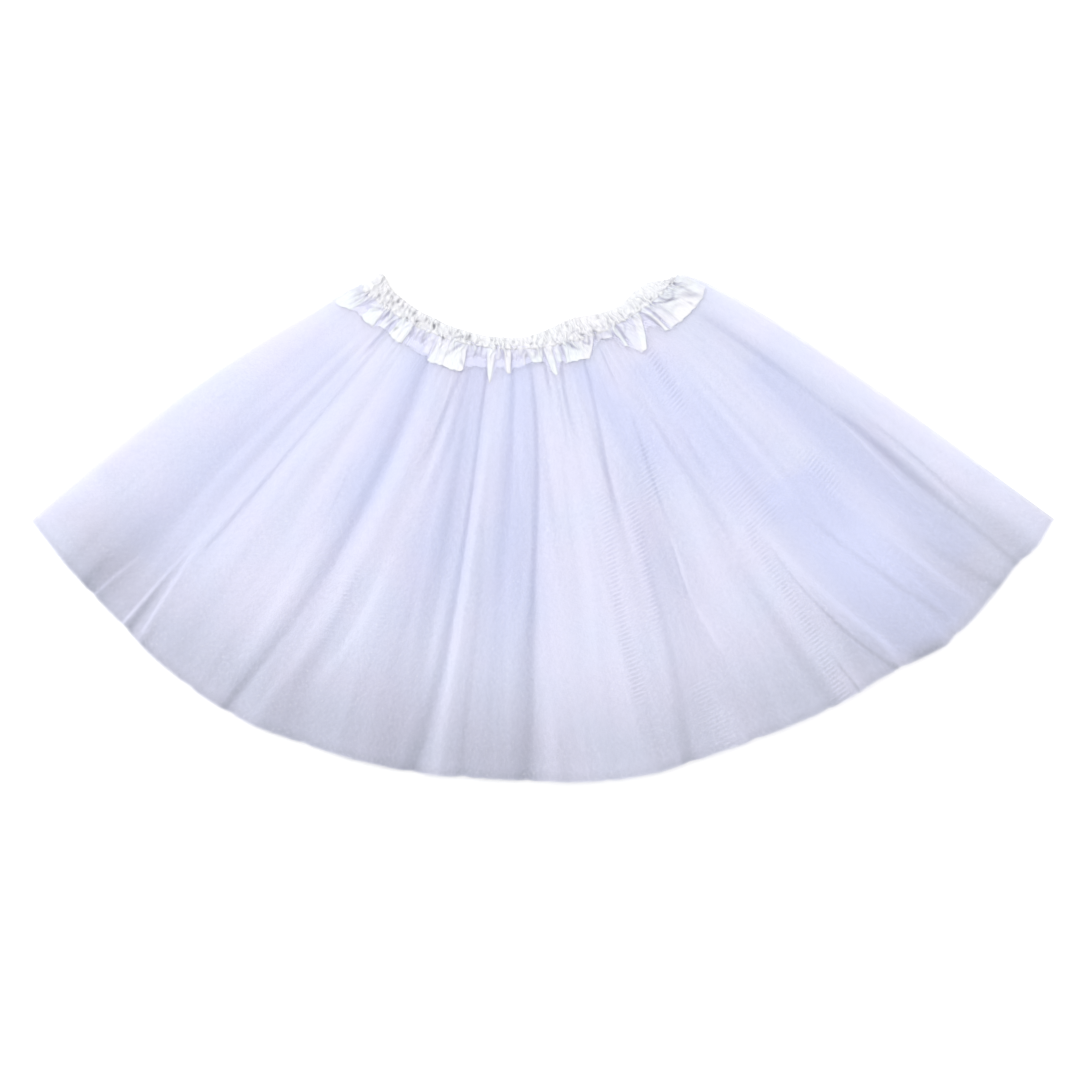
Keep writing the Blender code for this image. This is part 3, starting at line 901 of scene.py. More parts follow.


# Painted shade in creases and painted light along ridges, from left to right, then broad bands of painted
# shade and light where the cloth turns.
SHADES = listed(
    Streak,
    ((0.027, 0.027), (0.38, 0.49), (1.0,), 0.08),
    ((0.098, 0.080, 0.072), (0.30, 0.64), (7.0, 9.0), (0.0, 0.12, 0.0)),
    ((0.090, 0.084, 0.078, 0.072), (0.44, 1.10), (9.0, 17.0), (0.0, 0.16, 0.24, 0.20)),
    ((0.066, 0.066), (0.91, 1.10), (3.0, 4.0), 0.20),
    ((0.090, 0.083, 0.078), (0.83, 1.02), (0.9, 1.1), (-0.15, -0.40, -0.40)),
    ((0.136, 0.136, 0.134), (0.01, 0.11), (1.6, 1.8), 0.34),
    ((0.147, 0.146, 0.144, 0.140, 0.134), (0.08, 0.73), (1.0, 1.2, 1.4), (0.10, 0.22, 0.28, 0.28, 0.26)),
    ((0.139, 0.136, 0.128), (0.30, 0.70), (1.0,), (-0.04, -0.16, -0.22)),
    ((0.153, 0.150, 0.143), (0.28, 0.70), (1.2,), (-0.04, -0.14, -0.16)),
    ((0.125, 0.118, 0.112), (0.66, 1.04), (1.0, 1.2), (-0.24, -0.50, -0.50)),
    ((0.126, 0.129, 0.132), (0.71, 1.00), (1.0, 1.3), (-0.34, -0.46, -0.20)),
    ((0.121, 0.120, 0.122), (0.76, 1.10), (1.6, 3.4), (0.10, 0.30, 0.40)),
    ((0.139, 0.140), (0.94, 1.10), (2.0, 3.0), 0.16),
    ((0.168, 0.162), (0.30, 0.60), (1.6, 2.2), (0.0, 0.07, 0.0)),
    ((0.196, 0.186, 0.180), (0.20, 0.66), (2.0, 3.4), (0.0, 0.08, 0.0)),
    ((0.205, 0.196), (0.60, 1.10), (2.4, 4.0), (0.0, 0.08, 0.12)),
    ((0.228, 0.232, 0.233), (0.36, 0.52), (1.3,), 0.14),
    ((0.238, 0.229, 0.222), (0.48, 0.88), (3.0, 4.0), (-0.04, -0.16, -0.06)),
    (
        (0.261, 0.265, 0.273, 0.258, 0.248, 0.234, 0.218), (0.03, 1.08),
        (5.0, 6.0, 6.0, 5.0, 4.0, 2.2), (0.24, 0.28, 0.28, 0.22, 0.24, 0.34), 0.6,
    ),
    (
        (0.286, 0.288, 0.292, 0.284, 0.275, 0.260, 0.244), (0.05, 1.04),
        (3.6, 4.5, 4.6, 4.0), (-0.08, -0.14, -0.18, -0.16, -0.10), -0.3,
    ),
    ((0.354, 0.342, 0.334, 0.322), (0.04, 0.32), (1.5, 2.4), (0.24, 0.30, 0.12), 0.4),
    ((0.355, 0.347, 0.337, 0.322), (0.14, 0.46), (1.2, 2.4), (-0.06, -0.20, -0.14, 0.0)),
    ((0.368, 0.366, 0.361, 0.350), (0.06, 0.36), (1.6, 3.0), (0.18, 0.22, 0.08)),
    ((0.290, 0.291, 0.286, 0.272), (0.52, 0.88), (2.4, 4.0), (0.04, 0.18, 0.18, 0.06)),
    ((0.326, 0.314, 0.294), (0.52, 0.84), (2.0, 2.8), (-0.06, -0.20, -0.22)),
    ((0.336, 0.330), (0.60, 1.00), (2.5, 5.0), (0.0, 0.10, 0.0)),
    ((0.366, 0.360, 0.352), (0.40, 0.90), (2.0, 3.5), (0.0, 0.09, 0.0)),
    ((0.398, 0.394, 0.388), (0.48, 0.80), (2.0, 2.8), (-0.04, -0.12, -0.04)),
    (
        (0.411, 0.413, 0.412, 0.410, 0.405, 0.396, 0.384), (0.03, 1.08),
        (1.4, 1.9, 3.0, 5.4, 8.5), (0.30, 0.40, 0.36, 0.27, 0.25, 0.30), 0.7,
    ),
    (
        (0.427, 0.425, 0.421, 0.417, 0.413, 0.411, 0.407), (0.08, 1.08),
        (3.0, 2.8, 3.8, 7.0), (-0.08, -0.18, -0.26, -0.24, -0.17), -0.4,
    ),
    ((0.446, 0.436, 0.430), (0.36, 1.00), (1.4, 2.4), (0.0, 0.10, 0.08)),
    ((0.474, 0.472, 0.467, 0.462, 0.454), (0.03, 0.62), (1.4, 3.2, 5.0), (0.30, 0.24, 0.18, 0.0)),
    ((0.489, 0.488, 0.497, 0.493, 0.483), (0.10, 0.68), (2.4, 3.4), (-0.06, -0.14, -0.22, -0.08)),
    (
        (0.519, 0.522, 0.513, 0.504, 0.498, 0.495, 0.489, 0.482), (0.03, 1.08),
        (1.6, 2.4, 3.2, 4.4, 7.0), (0.26, 0.38, 0.34, 0.24, 0.19, 0.15), 0.3,
    ),
    ((0.505, 0.508, 0.512), (0.64, 1.06), (3.4, 6.5), (-0.04, -0.10, -0.06)),
    ((0.538, 0.534, 0.536), (0.10, 0.60), (1.2, 2.0), (0.06, 0.08, 0.0)),
    ((0.562, 0.556, 0.557), (0.22, 0.58), (0.9, 1.1), (0.0, 0.14, 0.0)),
    ((0.556, 0.558), (0.03, 0.10), (1.4,), 0.26),
    ((0.578, 0.574), (0.06, 0.24), (1.0, 1.4), (0.16, 0.10)),
    ((0.600, 0.590, 0.596), (0.03, 0.22), (1.2, 1.6), (0.34, 0.32, 0.10)),
    ((0.572, 0.566, 0.562), (0.60, 1.00), (2.0, 4.0), (0.0, 0.06, 0.04)),
    ((0.655, 0.645, 0.634, 0.627, 0.623), (0.04, 0.44), (1.3, 1.8, 2.8), (0.30, 0.34, 0.30, 0.05), 0.3),
    (
        (0.652, 0.644, 0.641, 0.634, 0.629, 0.625),
        (0.44, 1.08),
        (3.0, 4.0, 5.0, 6.0),
        (0.08, 0.18, 0.18, 0.18),
        0.3,
    ),
    ((0.704, 0.700), (0.03, 0.11), (1.0,), 0.26),
    ((0.706, 0.696, 0.689, 0.686), (0.18, 0.48), (1.0, 1.6), (0.06, 0.28, 0.26, 0.10)),
    ((0.684, 0.681, 0.678), (0.50, 0.64), (0.9, 1.1), (-0.24, -0.38, -0.10)),
    ((0.679, 0.675), (0.51, 0.64), (1.2,), 0.16),
    ((0.680, 0.688), (0.67, 0.78), (1.2,), -0.22),
    ((0.722, 0.742, 0.748), (0.14, 0.60), (1.4, 2.4), (0.12, 0.14, 0.05)),
    ((0.767, 0.761), (0.24, 0.46), (1.6, 2.2), (0.05, 0.20, 0.05)),
    ((0.742, 0.749, 0.756, 0.760), (0.60, 1.08), (3.5, 5.0), (0.06, 0.18, 0.18, 0.22)),
    ((0.779, 0.785), (0.91, 1.06), (1.0, 1.2), 0.30),
    ((0.782, 0.794, 0.805, 0.817, 0.828), (0.56, 0.97), (1.6, 2.2, 2.4), (-0.12, -0.28, -0.26, -0.18)),
    ((0.784, 0.787, 0.793, 0.802, 0.813, 0.829), (0.62, 1.04), (0.9, 1.2, 1.6), (0.12, 0.30, 0.32, 0.36)),
    ((0.834, 0.848, 0.865, 0.880), (0.54, 0.96), (1.8, 2.8), (0.06, 0.22, 0.24, 0.14), -0.4),
    ((0.876, 0.880, 0.890, 0.898, 0.906), (0.44, 0.97), (1.2, 1.7), (-0.08, -0.24, -0.24, -0.12)),
    ((0.905, 0.918, 0.942), (0.66, 1.08), (2.4, 3.6), (0.02, 0.10, 0.28)),
    ((0.886, 0.882), (0.14, 0.44), (1.2, 1.8), (0.14, 0.04)),
    ((0.939, 0.946, 0.950, 0.952), (0.07, 0.52), (2.6, 2.0, 1.6), (0.08, 0.24, 0.20, 0.18)),
    (
        (0.954, 0.953, 0.952, 0.955, 0.955, 0.953), (0.49, 1.04),
        (1.6, 3.4, 3.6, 2.6, 1.9, 1.6), (0.22, 0.38, 0.34, 0.22, 0.18, 0.18), -0.5,
    ),
    ((0.947, 0.943, 0.939), (0.49, 0.74), (0.8, 0.9), (-0.20, -0.32, -0.10)),
    ((0.969, 0.971, 0.969, 0.967), (0.52, 0.84), (0.9,), (0.14, 0.36, 0.32, 0.10)),
    ((0.963, 0.964, 0.962), (0.60, 0.82), (0.9,), -0.18),
    ((0.958, 0.954, 0.948), (0.46, 0.84), (6.0, 9.0), 0.10),
    ((0.850, 0.850), (0.975, 1.20), (12.0, 14.0), 0.50),
    ((0.0, 0.0), (-0.20, 1.20), (10.0, 22.0), (-0.05, -0.05, -0.06, -0.20)),
    ((1.0, 1.0), (-0.20, 1.20), (9.0, 20.0), (-0.02, -0.04, -0.08, -0.16, -0.28)),
    ((0.165, 0.158), (-0.20, 0.70), (10.0, 28.0), (-0.06, -0.06, 0.0)),
    ((0.010, 0.010), (0.80, 1.30), (10.0, 16.0), -0.17),
    ((0.362, 0.354), (0.34, 1.30), (10.0, 26.0), (0.03, 0.08, 0.07, 0.14)),
    ((0.372, 0.362, 0.352), (0.00, 1.20), (16.0, 36.0), 0.10),
    ((0.470, 0.460, 0.450), (0.20, 1.20), (14.0, 42.0), (0.04, 0.14, 0.16, 0.18)),
    ((0.560, 0.552), (-0.20, 1.20), (12.0, 34.0), (-0.04, -0.01, -0.05, -0.07, -0.20)),
    ((0.664, 0.662), (0.16, 0.82), (9.0, 20.0), (0.02, 0.08, 0.06, 0.03)),
    ((0.772, 0.774), (0.84, 1.30), (14.0, 20.0), (-0.09, -0.16)),
    ((0.664, 0.664), (0.90, 1.30), (14.0, 20.0), -0.09),
    ((0.030, 0.036), (0.92, 1.30), (14.0, 20.0), -0.07),
    ((0.984, 0.984), (0.02, 0.22), (6.0, 8.0), -0.08),
    ((0.938, 0.938), (0.76, 0.98), (12.0, 14.0), -0.08),
    ((1.000, 1.000), (0.84, 1.30), (14.0, 18.0), -0.12),
    ((0.262, 0.270, 0.276), (0.44, 1.20), (10.0, 24.0), (0.0, 0.12, 0.16, 0.16)),
    ((0.662, 0.664, 0.662), (0.26, 0.84), (9.0, 14.0), (0.0, 0.16, 0.0)),
    ((0.862, 0.866), (0.66, 1.00), (20.0, 30.0), -0.13),
    ((0.940, 0.940), (0.10, 1.20), (12.0, 24.0), (0.10, 0.10, 0.10, 0.0, -0.06)),
)

# Where the cloth looks bluer.
BLUES = listed(
    Streak,
    ((0.100, 0.095, 0.085), (0.15, 0.85), (20.0, 30.0), 0.50),
    ((0.250, 0.262, 0.250), (0.02, 0.60), (12.0, 18.0), (0.80, 0.80, 0.80, 0.0)),
    ((0.395, 0.385, 0.380), (0.02, 0.72), (10.0, 22.0), (0.70, 0.70, 0.70, 0.0)),
    ((0.490, 0.480, 0.470), (0.02, 0.80), (12.0, 22.0), (0.80, 0.80, 0.80, 0.0)),
    ((0.640, 0.690, 0.720), (0.05, 0.42), (10.0, 20.0), (0.90, 0.90, 0.90, 0.0)),
    ((0.780, 0.800, 0.820), (0.10, 0.60), (16.0, 30.0), (0.80, 0.80, 0.80, 0.0)),
    ((0.850, 0.852, 0.866), (0.50, 0.98), (22.0, 36.0), 1.30),
    ((0.930, 0.925, 0.935), (0.25, 0.90), (12.0, 16.0), 0.80),
)

# Where the layers' nets fall out of step and show fine rungs.
RUNGS = listed(
    Streak,
    ((0.612, 0.606, 0.599, 0.598, 0.597), (0.33, 0.83), (3.4, 4.4), (0.5, 1.0, 1.0, 0.9)),
    ((0.648, 0.640, 0.630), (0.38, 0.70), (3.4, 4.4), 0.60),
    ((0.803, 0.786), (0.08, 0.24), (3.0, 4.0), 1.00),
    ((0.775, 0.772, 0.774, 0.771, 0.769), (0.55, 1.02), (3.4, 3.6, 5.0), 0.80),
    ((0.884, 0.886), (0.47, 0.58), (5.0, 6.0), 0.90),
    ((0.794, 0.800), (0.43, 0.57), (12.0, 12.0), 0.60),
    ((0.655, 0.663), (0.82, 1.00), (7.0, 9.0), 0.46),
    ((0.700, 0.690, 0.680), (0.26, 0.42), (6.0, 8.0), 0.50),
    ((0.291, 0.284), (0.54, 0.78), (4.0, 5.0), 0.32),
    ((0.338, 0.334), (0.60, 0.70), (4.0, 4.0), 0.30),
)


@dataclass(frozen=True)
class Crease:
    """A short crease that may run any way over the cloth.

    Attributes:
        places: Where it starts, its middle and where it ends, as a share and millimetres above the seam.
        half: Half its width, in millimetres.
        tone: How dark it is, or how light if negative.
    """

    places: tuple[Pair, ...]
    half: float
    tone: float
    runs: ClassVar[int] = 8
    ends: ClassVar[float] = 0.35

    def paint(self, share: Array, above: Array) -> Array:
        """A bell curve of the distance to a parabola through its places, which is cut into short runs.

        Args:
            share: Columns by their share.
            above: Metres above the seam, which broadcasts with them.

        Returns:
            Its strength at each row and column, fading towards both ends.
        """
        start, middle, end = np.array(self.places)
        wide = FAN.width(-middle[1] * MM / FAN.length)
        run = np.linspace(0.0, 1.0, self.runs + 1)[:, None]
        curve = mix(start, end, run) + (2.0 * middle - start - end) * 2.0 * run * (1.0 - run)
        curve = (curve - middle) * np.array([wide, MM])
        x, y = np.broadcast_arrays((share - middle[0]) * wide, above - middle[1] * MM)
        strength = np.zeros(x.shape)
        for step, (near, far) in enumerate(zip(curve[:-1], curve[1:], strict=True)):
            ahead = far - near
            along = ((x - near[0]) * ahead[0] + (y - near[1]) * ahead[1]) / (ahead @ ahead)
            along = np.clip(along, 0.0, 1.0)
            away = (x - near[0] - along * ahead[0]) ** 2 + (y - near[1] - along * ahead[1]) ** 2
            taper = mix(self.ends, 1.0, np.sin(math.pi * (step + along) / self.runs))
            strength = np.maximum(strength, taper * np.exp(-away / (self.half * MM) ** 2))
        return self.tone * strength


# Where an edge of an under layer shows through as a pale line across the folds.
CROSSINGS = listed(
    Crease,
    (((0.741, -170.0), (0.772, -152.0), (0.806, -149.0)), 1.5, -0.22),
    (((0.800, -146.0), (0.826, -151.0), (0.850, -143.0)), 1.6, -0.20),
    (((0.838, -132.0), (0.852, -124.0), (0.858, -136.0)), 1.4, -0.14),
)


@dataclass(frozen=True)
class LayerCloth:
    """What one layer of tulle has of its own.

    Order is how many layers lie outside it, inset how much further in its sides lie, and folded how much of
    the main folds' height it takes. Turn, in degrees, and drift, a noise scale, are how its net lies.
    """

    node: str
    order: int
    inset: float
    folded: float
    cell: float
    turn: float
    drift: float
    rungs: bool


class Layer(Enum):
    """The layers of tulle, from the outermost in."""

    OUTER = LayerCloth("tulle_outer", 0, 0.0000, 1.00, 0.00115, 0.0, 31.0, True)
    MIDDLE = LayerCloth("tulle_middle", 1, 0.0006, 0.66, 0.00128, 20.0, 43.0, True)
    INNER = LayerCloth("tulle_inner", 2, 0.0012, 0.33, 0.00105, 40.0, 59.0, False)


@dataclass(frozen=True)
class Columns:
    """How many columns of points a flattened tube has on its front, round each side, and on its back."""

    front: int
    side: int
    back: int
    sliver: ClassVar[float] = 0.012

    def total(self) -> int:
        """The columns of one whole loop."""
        return self.front + self.back + 2 * self.side

    def shares(self) -> Array:
        """The share of each column, round the loop: front, right side, back and left side."""
        front, back = np.linspace(0.0, 1.0, self.front), np.linspace(1.0, 0.0, self.back)
        return np.concatenate([front, np.ones(self.side), back, np.zeros(self.side)])

    def turn(self) -> Array:
        """The angle round a folded side: a quarter turn up on the front, and one down on the back.

        Returns:
            The angle of each column, in radians.
        """
        up = TURN / 4
        down = np.linspace(up, -up, self.side + 2)[1:-1]
        return np.concatenate([np.full(self.front, up), down, np.full(self.back, -up), down[::-1]])

    def across(self) -> Array:
        """Where each column is along the cut, from 0 to 1 and one more than there are columns.

        The front and the back take nearly half each, and each folded side a sliver.

        Returns:
            One place for each column, and the last, which is 1.
        """
        ends = np.cumsum([0, self.front - 1, self.side + 1, self.back - 1, self.side + 1])
        places = (0.0, 0.5 - self.sliver, 0.5, 1.0 - self.sliver, 1.0)
        return np.interp(np.arange(self.total() + 1), ends, places)

    def on_front(self) -> Array:
        """1 on the front, running out half way round each side, by column."""
        return np.clip(np.sin(self.turn()), 0.0, 1.0)

    def on_back(self) -> Array:
        """1 on the back, running out half way round each side, by column."""
        return np.clip(-np.sin(self.turn()), 0.0, 1.0)


@dataclass(frozen=True)
class FlatTube:
    """A tube of cloth that has been pressed flat, with folded sides whose middle lies inset in the plan."""

    plan: Plan
    columns: Columns
    inset: float
    inset_power: ClassVar[int] = 6
    stride: ClassVar[float] = 0.01

    def outwards(self, share: float, depth: Array) -> Array:
        """The level direction that points out of the fan along one of its sides: square to it, and unit long.

        Args:
            share: 0 for the left side and 1 for the right.
            depth: Where along the side.

        Returns:
            A unit vector for each depth.
        """
        side = self.plan(share, depth)
        run = self.plan(share, depth + self.stride) - side
        normal = np.stack([run[..., 1], -run[..., 0]], axis=-1)
        normal /= np.linalg.norm(normal, axis=-1, keepdims=True)
        return normal * np.sign((normal * (side - self.plan(0.5, depth))).sum(axis=-1, keepdims=True))

    def points(self, depth: Array, radius: Number, centre: Number, lift: Array) -> Array:
        """Points of the tube, one loop for each row.

        The front and back lie radius above and below the centre, and are lifted besides. Each side is a half
        circle of that radius.

        Args:
            depth: Rows by columns, or one value for each row, as a column.
            radius: Half the tube's thickness, one for all or one for each row, as a column.
            centre: The height of the tube's middle, in the same way.
            lift: How far each point is raised, rows by columns.

        Returns:
            Rows by columns by 3.
        """
        share, turn = self.columns.shares(), self.columns.turn()
        left, right = self.outwards(0.0, depth[:, :1]), self.outwards(1.0, depth[:, :1])
        near_left, near_right = (1.0 - share) ** self.inset_power, share**self.inset_power
        inwards = self.inset * (left * near_left[:, None] + right * near_right[:, None])
        side = left * (share < 0.5)[:, None] + right * (share >= 0.5)[:, None]
        flat = self.plan(share, depth) - inwards + (radius * np.cos(turn))[..., None] * side
        height = centre + radius * np.sin(turn) + lift
        return np.concatenate([flat, height[..., None]], axis=-1)


@dataclass(frozen=True)
class TulleSkirt:
    """Three layers of tulle, each a closed tube gathered at the waist, flattened and fanned out.

    Steps and tones in threes are smooth steps, each (tone, start, end), and waves are as for wobble. Notch is
    how far the hem is drawn up at each trough and half how wide that is. Base tone and slope tone are painted
    shade that deepens down the skirt, and the hem's shade steps deepen it further towards the hem and draw a
    darker line along its edge. Grains are faint streaks between the folds, each (how many, start, wander,
    tone). Behind is how strong the mirrored streaks of painted shade and blue are on the back.
    """

    cut: Cut = Cut(near=0.85, far=1.64, deep=FAN.length)
    columns: Columns = Columns(front=1180, side=8, back=350)
    rows: int = 62
    crowding: float = 0.25
    hem_band: float = 0.005
    hem_short: float = 0.0025
    layer_step: float = 0.002
    notch: Pair = (0.0030, 0.0050)
    hem_waves: tuple[Triple, ...] = ((11.0, 0.2, 0.0005), (27.0, 0.6, 0.0003))
    side_inset: float = 0.4
    folds_grown: Pair = (0.04, 0.45)
    back_gathers: float = 0.6
    behind: float = 0.75
    base_tone: float = 0.05
    slope_tone: float = 0.08
    hem_shade_steps: tuple[Triple, ...] = ((0.36, 0.68, 1.04), (0.20, 0.976, 0.994))
    grains: tuple[tuple[float, ...], ...] = (
        (23.0, 0.1, 2.1, 0.034), (41.0, 0.6, 3.3, 0.030), (83.0, 0.3, 4.7, 0.022),
    )
    grain_drift: Pair = (0.30, 0.9)
    grain_swell: Pair = (3.1, -1.3)
    grain_grown: float = 0.15
    closeness: float = 0.66
    closeness_steps: tuple[Triple, ...] = ((-0.30, 0.0, 0.9), (0.40, 0.976, 0.994))
    side_closeness: Pair = (0.05, 0.008)
    grey_span: Pair = (0.45, 1.0)
    rung_pitch: float = 0.0029
    rung_slant: float = 34.0

    def depths(self) -> Array:
        """Rows from the seam to the hem, closer together near the seam, and one more just above the hem."""
        even = np.linspace(0.0, 1.0, self.rows)
        return np.append(mix(even, even**2, self.crowding) * (1.0 - self.hem_band), 1.0)

    def hem_rise(self, share: Array) -> Array:
        """How far the hem is drawn up, as a share of the depth: a bell curve at each trough, and slow waves.

        Args:
            share: Columns by their share.

        Returns:
            The rise of each column.
        """
        rise, half = self.notch
        drawn = sum(rise * bell(share - fold.foot_hem, half) for fold in FRONT_FOLDS[:-1])
        return drawn + wobble(share, self.hem_waves)

    def lift(
        self, folds: tuple[Fold, ...], share: Array, depth: Array, folded: float, gathered: float
    ) -> Array:
        """How far the cloth stands up: its main folds, grown in down the skirt, and its gathers.

        Args:
            folds: The main folds.
            share: Columns by their share.
            depth: Rows by their depth, as a column.
            folded: How much of the folds' height to take.
            gathered: How much of the gathers' height to take.

        Returns:
            The height at each row and column.
        """
        grown = folded * ease(depth, *self.folds_grown)
        return fold_height(folds, share, depth) * grown + gathered * sum(
            pleats.lift(share, depth) for pleats in GATHERS
        )

    def surface(self, layer: LayerCloth) -> Surface:
        """Works out one layer: its folds, its gathers, and the shade and density of its net.

        Args:
            layer: Which one.

        Returns:
            The surface, ready to build.
        """
        share, rows = self.columns.shares(), self.depths()[:, None]
        front, back = self.columns.on_front(), self.columns.on_back()
        depth = rows * (1.0 - self.hem_short - self.layer_step * layer.order - self.hem_rise(share))
        lift = front * self.lift(FRONT_FOLDS, share, rows, layer.folded, 1.0)
        lift = lift + back * self.lift(BACK_FOLDS, share, rows, 1.0, self.back_gathers)
        tube = FlatTube(FAN.tulle, self.columns, self.side_inset * STACK.tulle_half() + layer.inset)
        down = rows * self.cut.deep
        # Shade is painted shade, and fall turns the colour of that painted shade grey towards the hem.
        values = {
            "shade": self.shade(share, rows),
            "density": self.density(share, rows),
            "blue": self.both_sides(BLUES, share, rows),
            "fall": ease(rows, *self.grey_span) + 0.0 * share,
            "rungs": painted(RUNGS, share, rows) * front * layer.rungs,
            "step": down / self.rung_pitch + self.rung_slant * share,
        }
        points = tube.points(depth, STACK.radius(layer.order), STACK.centre(rows), lift)
        return Surface(points, self.cut.place(self.columns.across(), down), values)

    def both_sides(self, rows: tuple[Streak, ...], share: Array, depth: Array) -> Array:
        """The tones of streaks on the front, and of the same streaks on the back, mirrored and paler.

        Args:
            rows: The streaks.
            share: Columns by their share.
            depth: Rows by their depth, as a column.

        Returns:
            The tone at each row and column.
        """
        shown = self.columns.on_front() * painted(rows, share, depth)
        return shown + self.behind * self.columns.on_back() * painted(rows, 1.0 - share, depth)

    def shade(self, share: Array, depth: Array) -> Array:
        """The painted shade on the tulle: streaks and faint grain over painted shade that deepens to the hem.

        Args:
            share: Columns by their share.
            depth: Rows by their depth, as a column.

        Returns:
            The tone at each row and column, from 0 to 1.
        """
        front, back = self.columns.on_front(), self.columns.on_back()
        crossed = front * sum(crease.paint(share, -depth * FAN.length) for crease in CROSSINGS)
        # Painted shade: a base that deepens down the skirt and further at the hem, plus streaks of painted
        # shade and light.
        hem = self.base_tone + self.slope_tone * depth + eases(depth, self.hem_shade_steps)
        streaks = self.both_sides(SHADES, share, depth) + crossed
        return np.clip(hem + streaks + (front + back) * self.grain(share, depth), 0.0, 1.0)

    def grain(self, share: Array, depth: Array) -> Array:
        """Faint streaks between the folds: sines of the share that wander and come and go down the skirt.

        Args:
            share: Columns by their share.
            depth: Rows by their depth, as a column.

        Returns:
            The tone at each row and column.
        """
        total = 0.0 * share * depth
        drift_reach, drift_run = self.grain_drift
        for count, start, wander, tone in self.grains:
            drift = drift_reach * np.sin(TURN * (wander * share + drift_run * depth + start))
            turns = self.grain_swell[0] * wander * share + self.grain_swell[1] * depth + 2.0 * start
            swell = 0.5 + 0.5 * np.sin(TURN * turns)
            total = total + tone * swell * np.sin(TURN * (count * share + start + drift))
        return total * ease(depth, 0.0, self.grain_grown)

    def density(self, share: Array, depth: Array) -> Array:
        """How close the strands lie: closest at the waist, where most cloth is gathered, and at the hem.

        Args:
            share: Columns by their share.
            depth: Rows by their depth, as a column.

        Returns:
            The density at each row and column, from 0 to 1.
        """
        more, reach = self.side_closeness
        sides = more * (np.exp(-share / reach) + np.exp(-(1.0 - share) / reach))
        return np.clip(self.closeness + eases(depth, self.closeness_steps) + sides, 0.0, 1.0)

    def build(self, effects: Effects) -> None:
        """Builds the three layers, hangs each from the root and hides the solid it stands for.

        Args:
            effects: The shared shader groups.
        """
        for layer in (member.value for member in Layer):
            finish = Tulle(f"{layer.node}_net", layer.cell, layer.turn, layer.drift).material(effects)
            piece = self.surface(layer).build(f"{layer.node}_cloth", finish)
            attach(piece, "root")
            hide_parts(layer.node)
            self.cut.area()
            LOG.info("%s: %d faces", piece.name, len(piece.data.polygons))


# The outline of the frill's free edge: (share along the seam, millimetres from the stitching).
FRILL_EDGE = (
    (0.000, 19.5), (0.016, 17.4), (0.030, 15.0), (0.044, 13.4), (0.065, 14.2), (0.083, 15.4), (0.100, 15.0),
    (0.111, 12.2), (0.129, 11.2), (0.147, 12.4), (0.158, 13.8), (0.170, 14.6), (0.187, 14.0), (0.200, 13.2),
    (0.234, 15.4), (0.257, 14.6), (0.263, 17.0), (0.273, 18.0), (0.299, 17.2), (0.329, 18.4), (0.350, 17.8),
    (0.358, 14.4), (0.385, 12.6), (0.409, 13.2), (0.415, 18.0), (0.422, 23.4), (0.428, 17.4), (0.435, 12.0),
    (0.451, 11.6), (0.457, 13.6), (0.463, 15.8), (0.471, 15.2), (0.477, 12.0), (0.500, 11.0), (0.518, 8.6),
    (0.540, 9.0), (0.554, 8.6), (0.562, 12.0), (0.572, 16.4), (0.580, 19.2), (0.588, 16.4), (0.596, 11.6),
    (0.604, 10.4), (0.611, 12.0), (0.640, 12.2), (0.662, 12.6), (0.674, 13.4), (0.684, 9.6), (0.700, 6.2),
    (0.712, 3.8), (0.722, 4.0), (0.740, 5.0), (0.750, 6.4), (0.7565, 9.5), (0.7615, 14.0), (0.7675, 15.4),
    (0.775, 18.0), (0.786, 22.4), (0.797, 23.4), (0.804, 21.8), (0.8103, 19.6), (0.818, 16.2), (0.8256, 13.6),
    (0.836, 10.6), (0.848, 11.2), (0.856, 15.0), (0.862, 18.6), (0.872, 20.6), (0.884, 19.6), (0.905, 20.4),
    (0.936, 20.4), (0.962, 20.2), (0.976, 19.4), (0.990, 19.0), (1.000, 17.0),
)


@dataclass(frozen=True)
class Lobe:
    """One place where the frill opens out into a lit face, which widens or narrows on its way to the edge.

    Attributes:
        foot: The share of its middle at the stitching.
        tip: The share of its middle at its far end.
        length: How far below the stitching that end is, in millimetres.
        foot_half: Half its width at the stitching, as a share.
        tip_half: Half its width at its far end, as a share.
        height: How far it opens out, in millimetres, half of it upwards.
        tone: How far it is from lit, 0, to shaded, 1.
        crisp: 1 if its right side is steep, -1 if its left one is, 0 if neither.
    """

    foot: float
    tip: float
    length: float
    foot_half: float
    tip_half: float
    height: float
    tone: float
    crisp: float
    slopes: ClassVar[Pair] = (0.004, 0.008)
    end: ClassVar[Pair] = (0.96, 1.12)
    least: ClassVar[float] = 0.002

    def inside(self, share: Array, below: Array) -> Array:
        """1 over the lobe, with smooth steps down at its slanting sides, one of them steep, and at its end.

        Args:
            share: Columns by their share.
            below: Metres below the stitching, rows by columns.

        Returns:
            From 0 to 1 at each row and column.
        """
        along = below / MM / self.length
        off = share - mix(self.foot, self.tip, along)
        half = np.maximum(mix(self.foot_half, self.tip_half, along), self.least)
        side = np.where(off * self.crisp > 0.0, *self.slopes)
        return ease((half - np.abs(off)) / side + 0.5) * (1.0 - ease(along, *self.end))

    def rise(self) -> float:
        """How high its face stands, in metres."""
        return self.height * MM / 2


